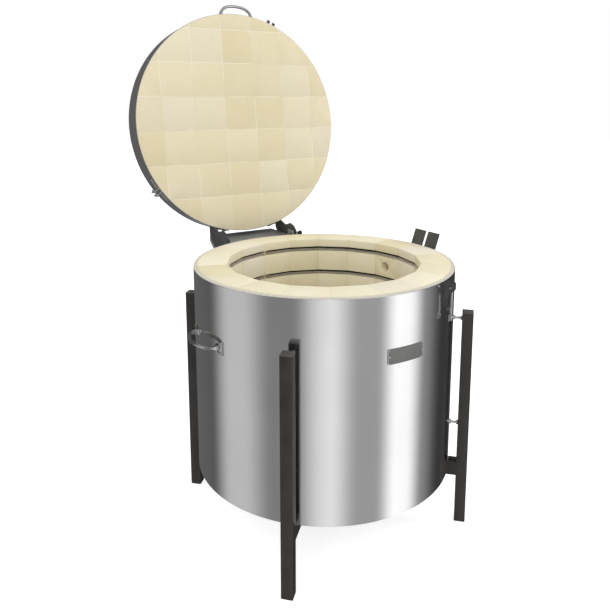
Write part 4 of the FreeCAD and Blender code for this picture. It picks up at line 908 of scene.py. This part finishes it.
# room round the kiln: a plain level for matt surfaces, upright strips of light that the polished sheet shows
room = {"plain": 0.76, "dark": 0.045,
        "strips": [{"centre": -38, "half": 84, "soft": 34, "strength": 0.20},
                   {"centre": -112, "half": 6, "soft": 30, "strength": 0.36},
                   {"centre": -31, "half": 2, "soft": 27, "strength": 0.58},
                   {"centre": 2, "half": 24, "soft": 16, "strength": 0.15},
                   {"centre": 38, "half": 4, "soft": 21, "strength": 0.95},
                   {"centre": 61, "half": 4, "soft": 25, "strength": 0.14},
                   {"centre": -170, "half": 12, "soft": 20, "strength": 0.08},
                   {"centre": 150, "half": 8, "soft": 16, "strength": 0.15}]}


# one strip: full inside its half width, fading over its soft edge, added to the sum so far
def buildStripGroup():
    group, given, leave = newGroup("stripLight", {"azimuth": 0.0, "centre": 0.0, "half": 10.0, "soft": 10.0,
                                                  "strength": 1.0, "sum": 0.0}, ("value",))
    away = calc(group, "SUBTRACT", given["azimuth"], given["centre"])
    apart = calc(group, "ABSOLUTE", calc(group, "WRAP", away, 180.0, -180.0))
    feeds = {"Value": apart, "From Min": calc(group, "ADD", given["half"], given["soft"]), "From Max": given["half"]}
    fade = addNode(group, "ShaderNodeMapRange", feeds, interpolation_type="SMOOTHSTEP").outputs["Result"]
    feed(group, leave, {"value": calc(group, "MULTIPLY_ADD", fade, given["strength"], given["sum"])})
    return group


def buildRoom():
    world = bpy.data.worlds.new("studioRoom")
    bpy.context.scene.world = world
    world.use_nodes = True
    tree = world.node_tree
    place = tree.nodes.new("ShaderNodeTexCoord").outputs["Generated"]
    parts = addNode(tree, "ShaderNodeSeparateXYZ", {0: place}).outputs
    turn = calc(tree, "ARCTAN2", parts["X"], calc(tree, "MULTIPLY", parts["Y"], -1.0))
    azimuth = calc(tree, "DEGREES", turn)
    strip, total = buildStripGroup(), room["dark"]
    for row in room["strips"]:
        total = placeGroup(tree, strip, azimuth=azimuth, sum=total, **row)["value"]
    seenRay, mirrorRay = lightRays(tree)
    level = mixValue(tree, mirrorRay, room["plain"], total)
    feed(tree, tree.nodes["Background"], {"Color": (1, 1, 1), "Strength": mixValue(tree, seenRay, level, 1.0)})


# lamps: soft panels that polished metal doesn't show
lamps = {"keyPanel": {"place": (-2.6, -2.4, 2.6), "aim": (0, 0, 0.6), "size": (1.6, 2.2), "power": 35},
         "fillPanel": {"place": (2.8, -1.6, 1.8), "aim": (0, 0, 0.5), "size": (0.8, 2.4), "power": 26},
         "topPanel": {"place": (0.2, 0.4, 3.4), "aim": (0, 0, 0.6), "size": (2.2, 2.2), "power": 10}}


def addLamps():
    for name, panel in lamps.items():
        lamp = bpy.data.lights.new(name, "AREA")
        lamp.shape = "RECTANGLE"
        lamp.size, lamp.size_y = panel["size"]
        lamp.energy = panel["power"]
        item = bpy.data.objects.new(name, lamp)
        item.location = panel["place"]
        item.rotation_euler = (Vector(panel["aim"]) - item.location).to_track_quat("-Z", "Y").to_euler()
        item.visible_glossy = False
        bpy.context.scene.collection.objects.link(item)


# camera of the photograph: focal length and principal point in pixels of its 610 pixel frame
camera = {"width": 610, "focal": 656.3, "centreX": 305.0, "centreY": 210.0, "place": (-0.873, -1.329, 1.050),
          "tilt": (80.30, 0.0, -31.63), "sensor": 36.0, "farEnd": 60}


def buildCamera():
    data = bpy.data.cameras.new("photoCamera")
    data.sensor_width = camera["sensor"]
    data.sensor_fit = "HORIZONTAL"
    data.lens = camera["focal"] * camera["sensor"] / camera["width"]
    half = camera["width"] / 2
    data.shift_x = (half - camera["centreX"]) / camera["width"]
    data.shift_y = (camera["centreY"] - half) / camera["width"]
    data.clip_end = camera["farEnd"]
    item = bpy.data.objects.new("photoCamera", data)
    item.location = camera["place"]
    item.rotation_euler = [math.radians(angle) for angle in camera["tilt"]]
    bpy.context.scene.collection.objects.link(item)
    bpy.context.scene.camera = item


buildFloor()
buildRoom()
buildCamera()
addLamps()
bpy.context.scene.view_settings.view_transform = "Standard"
print("stage: light and camera set")
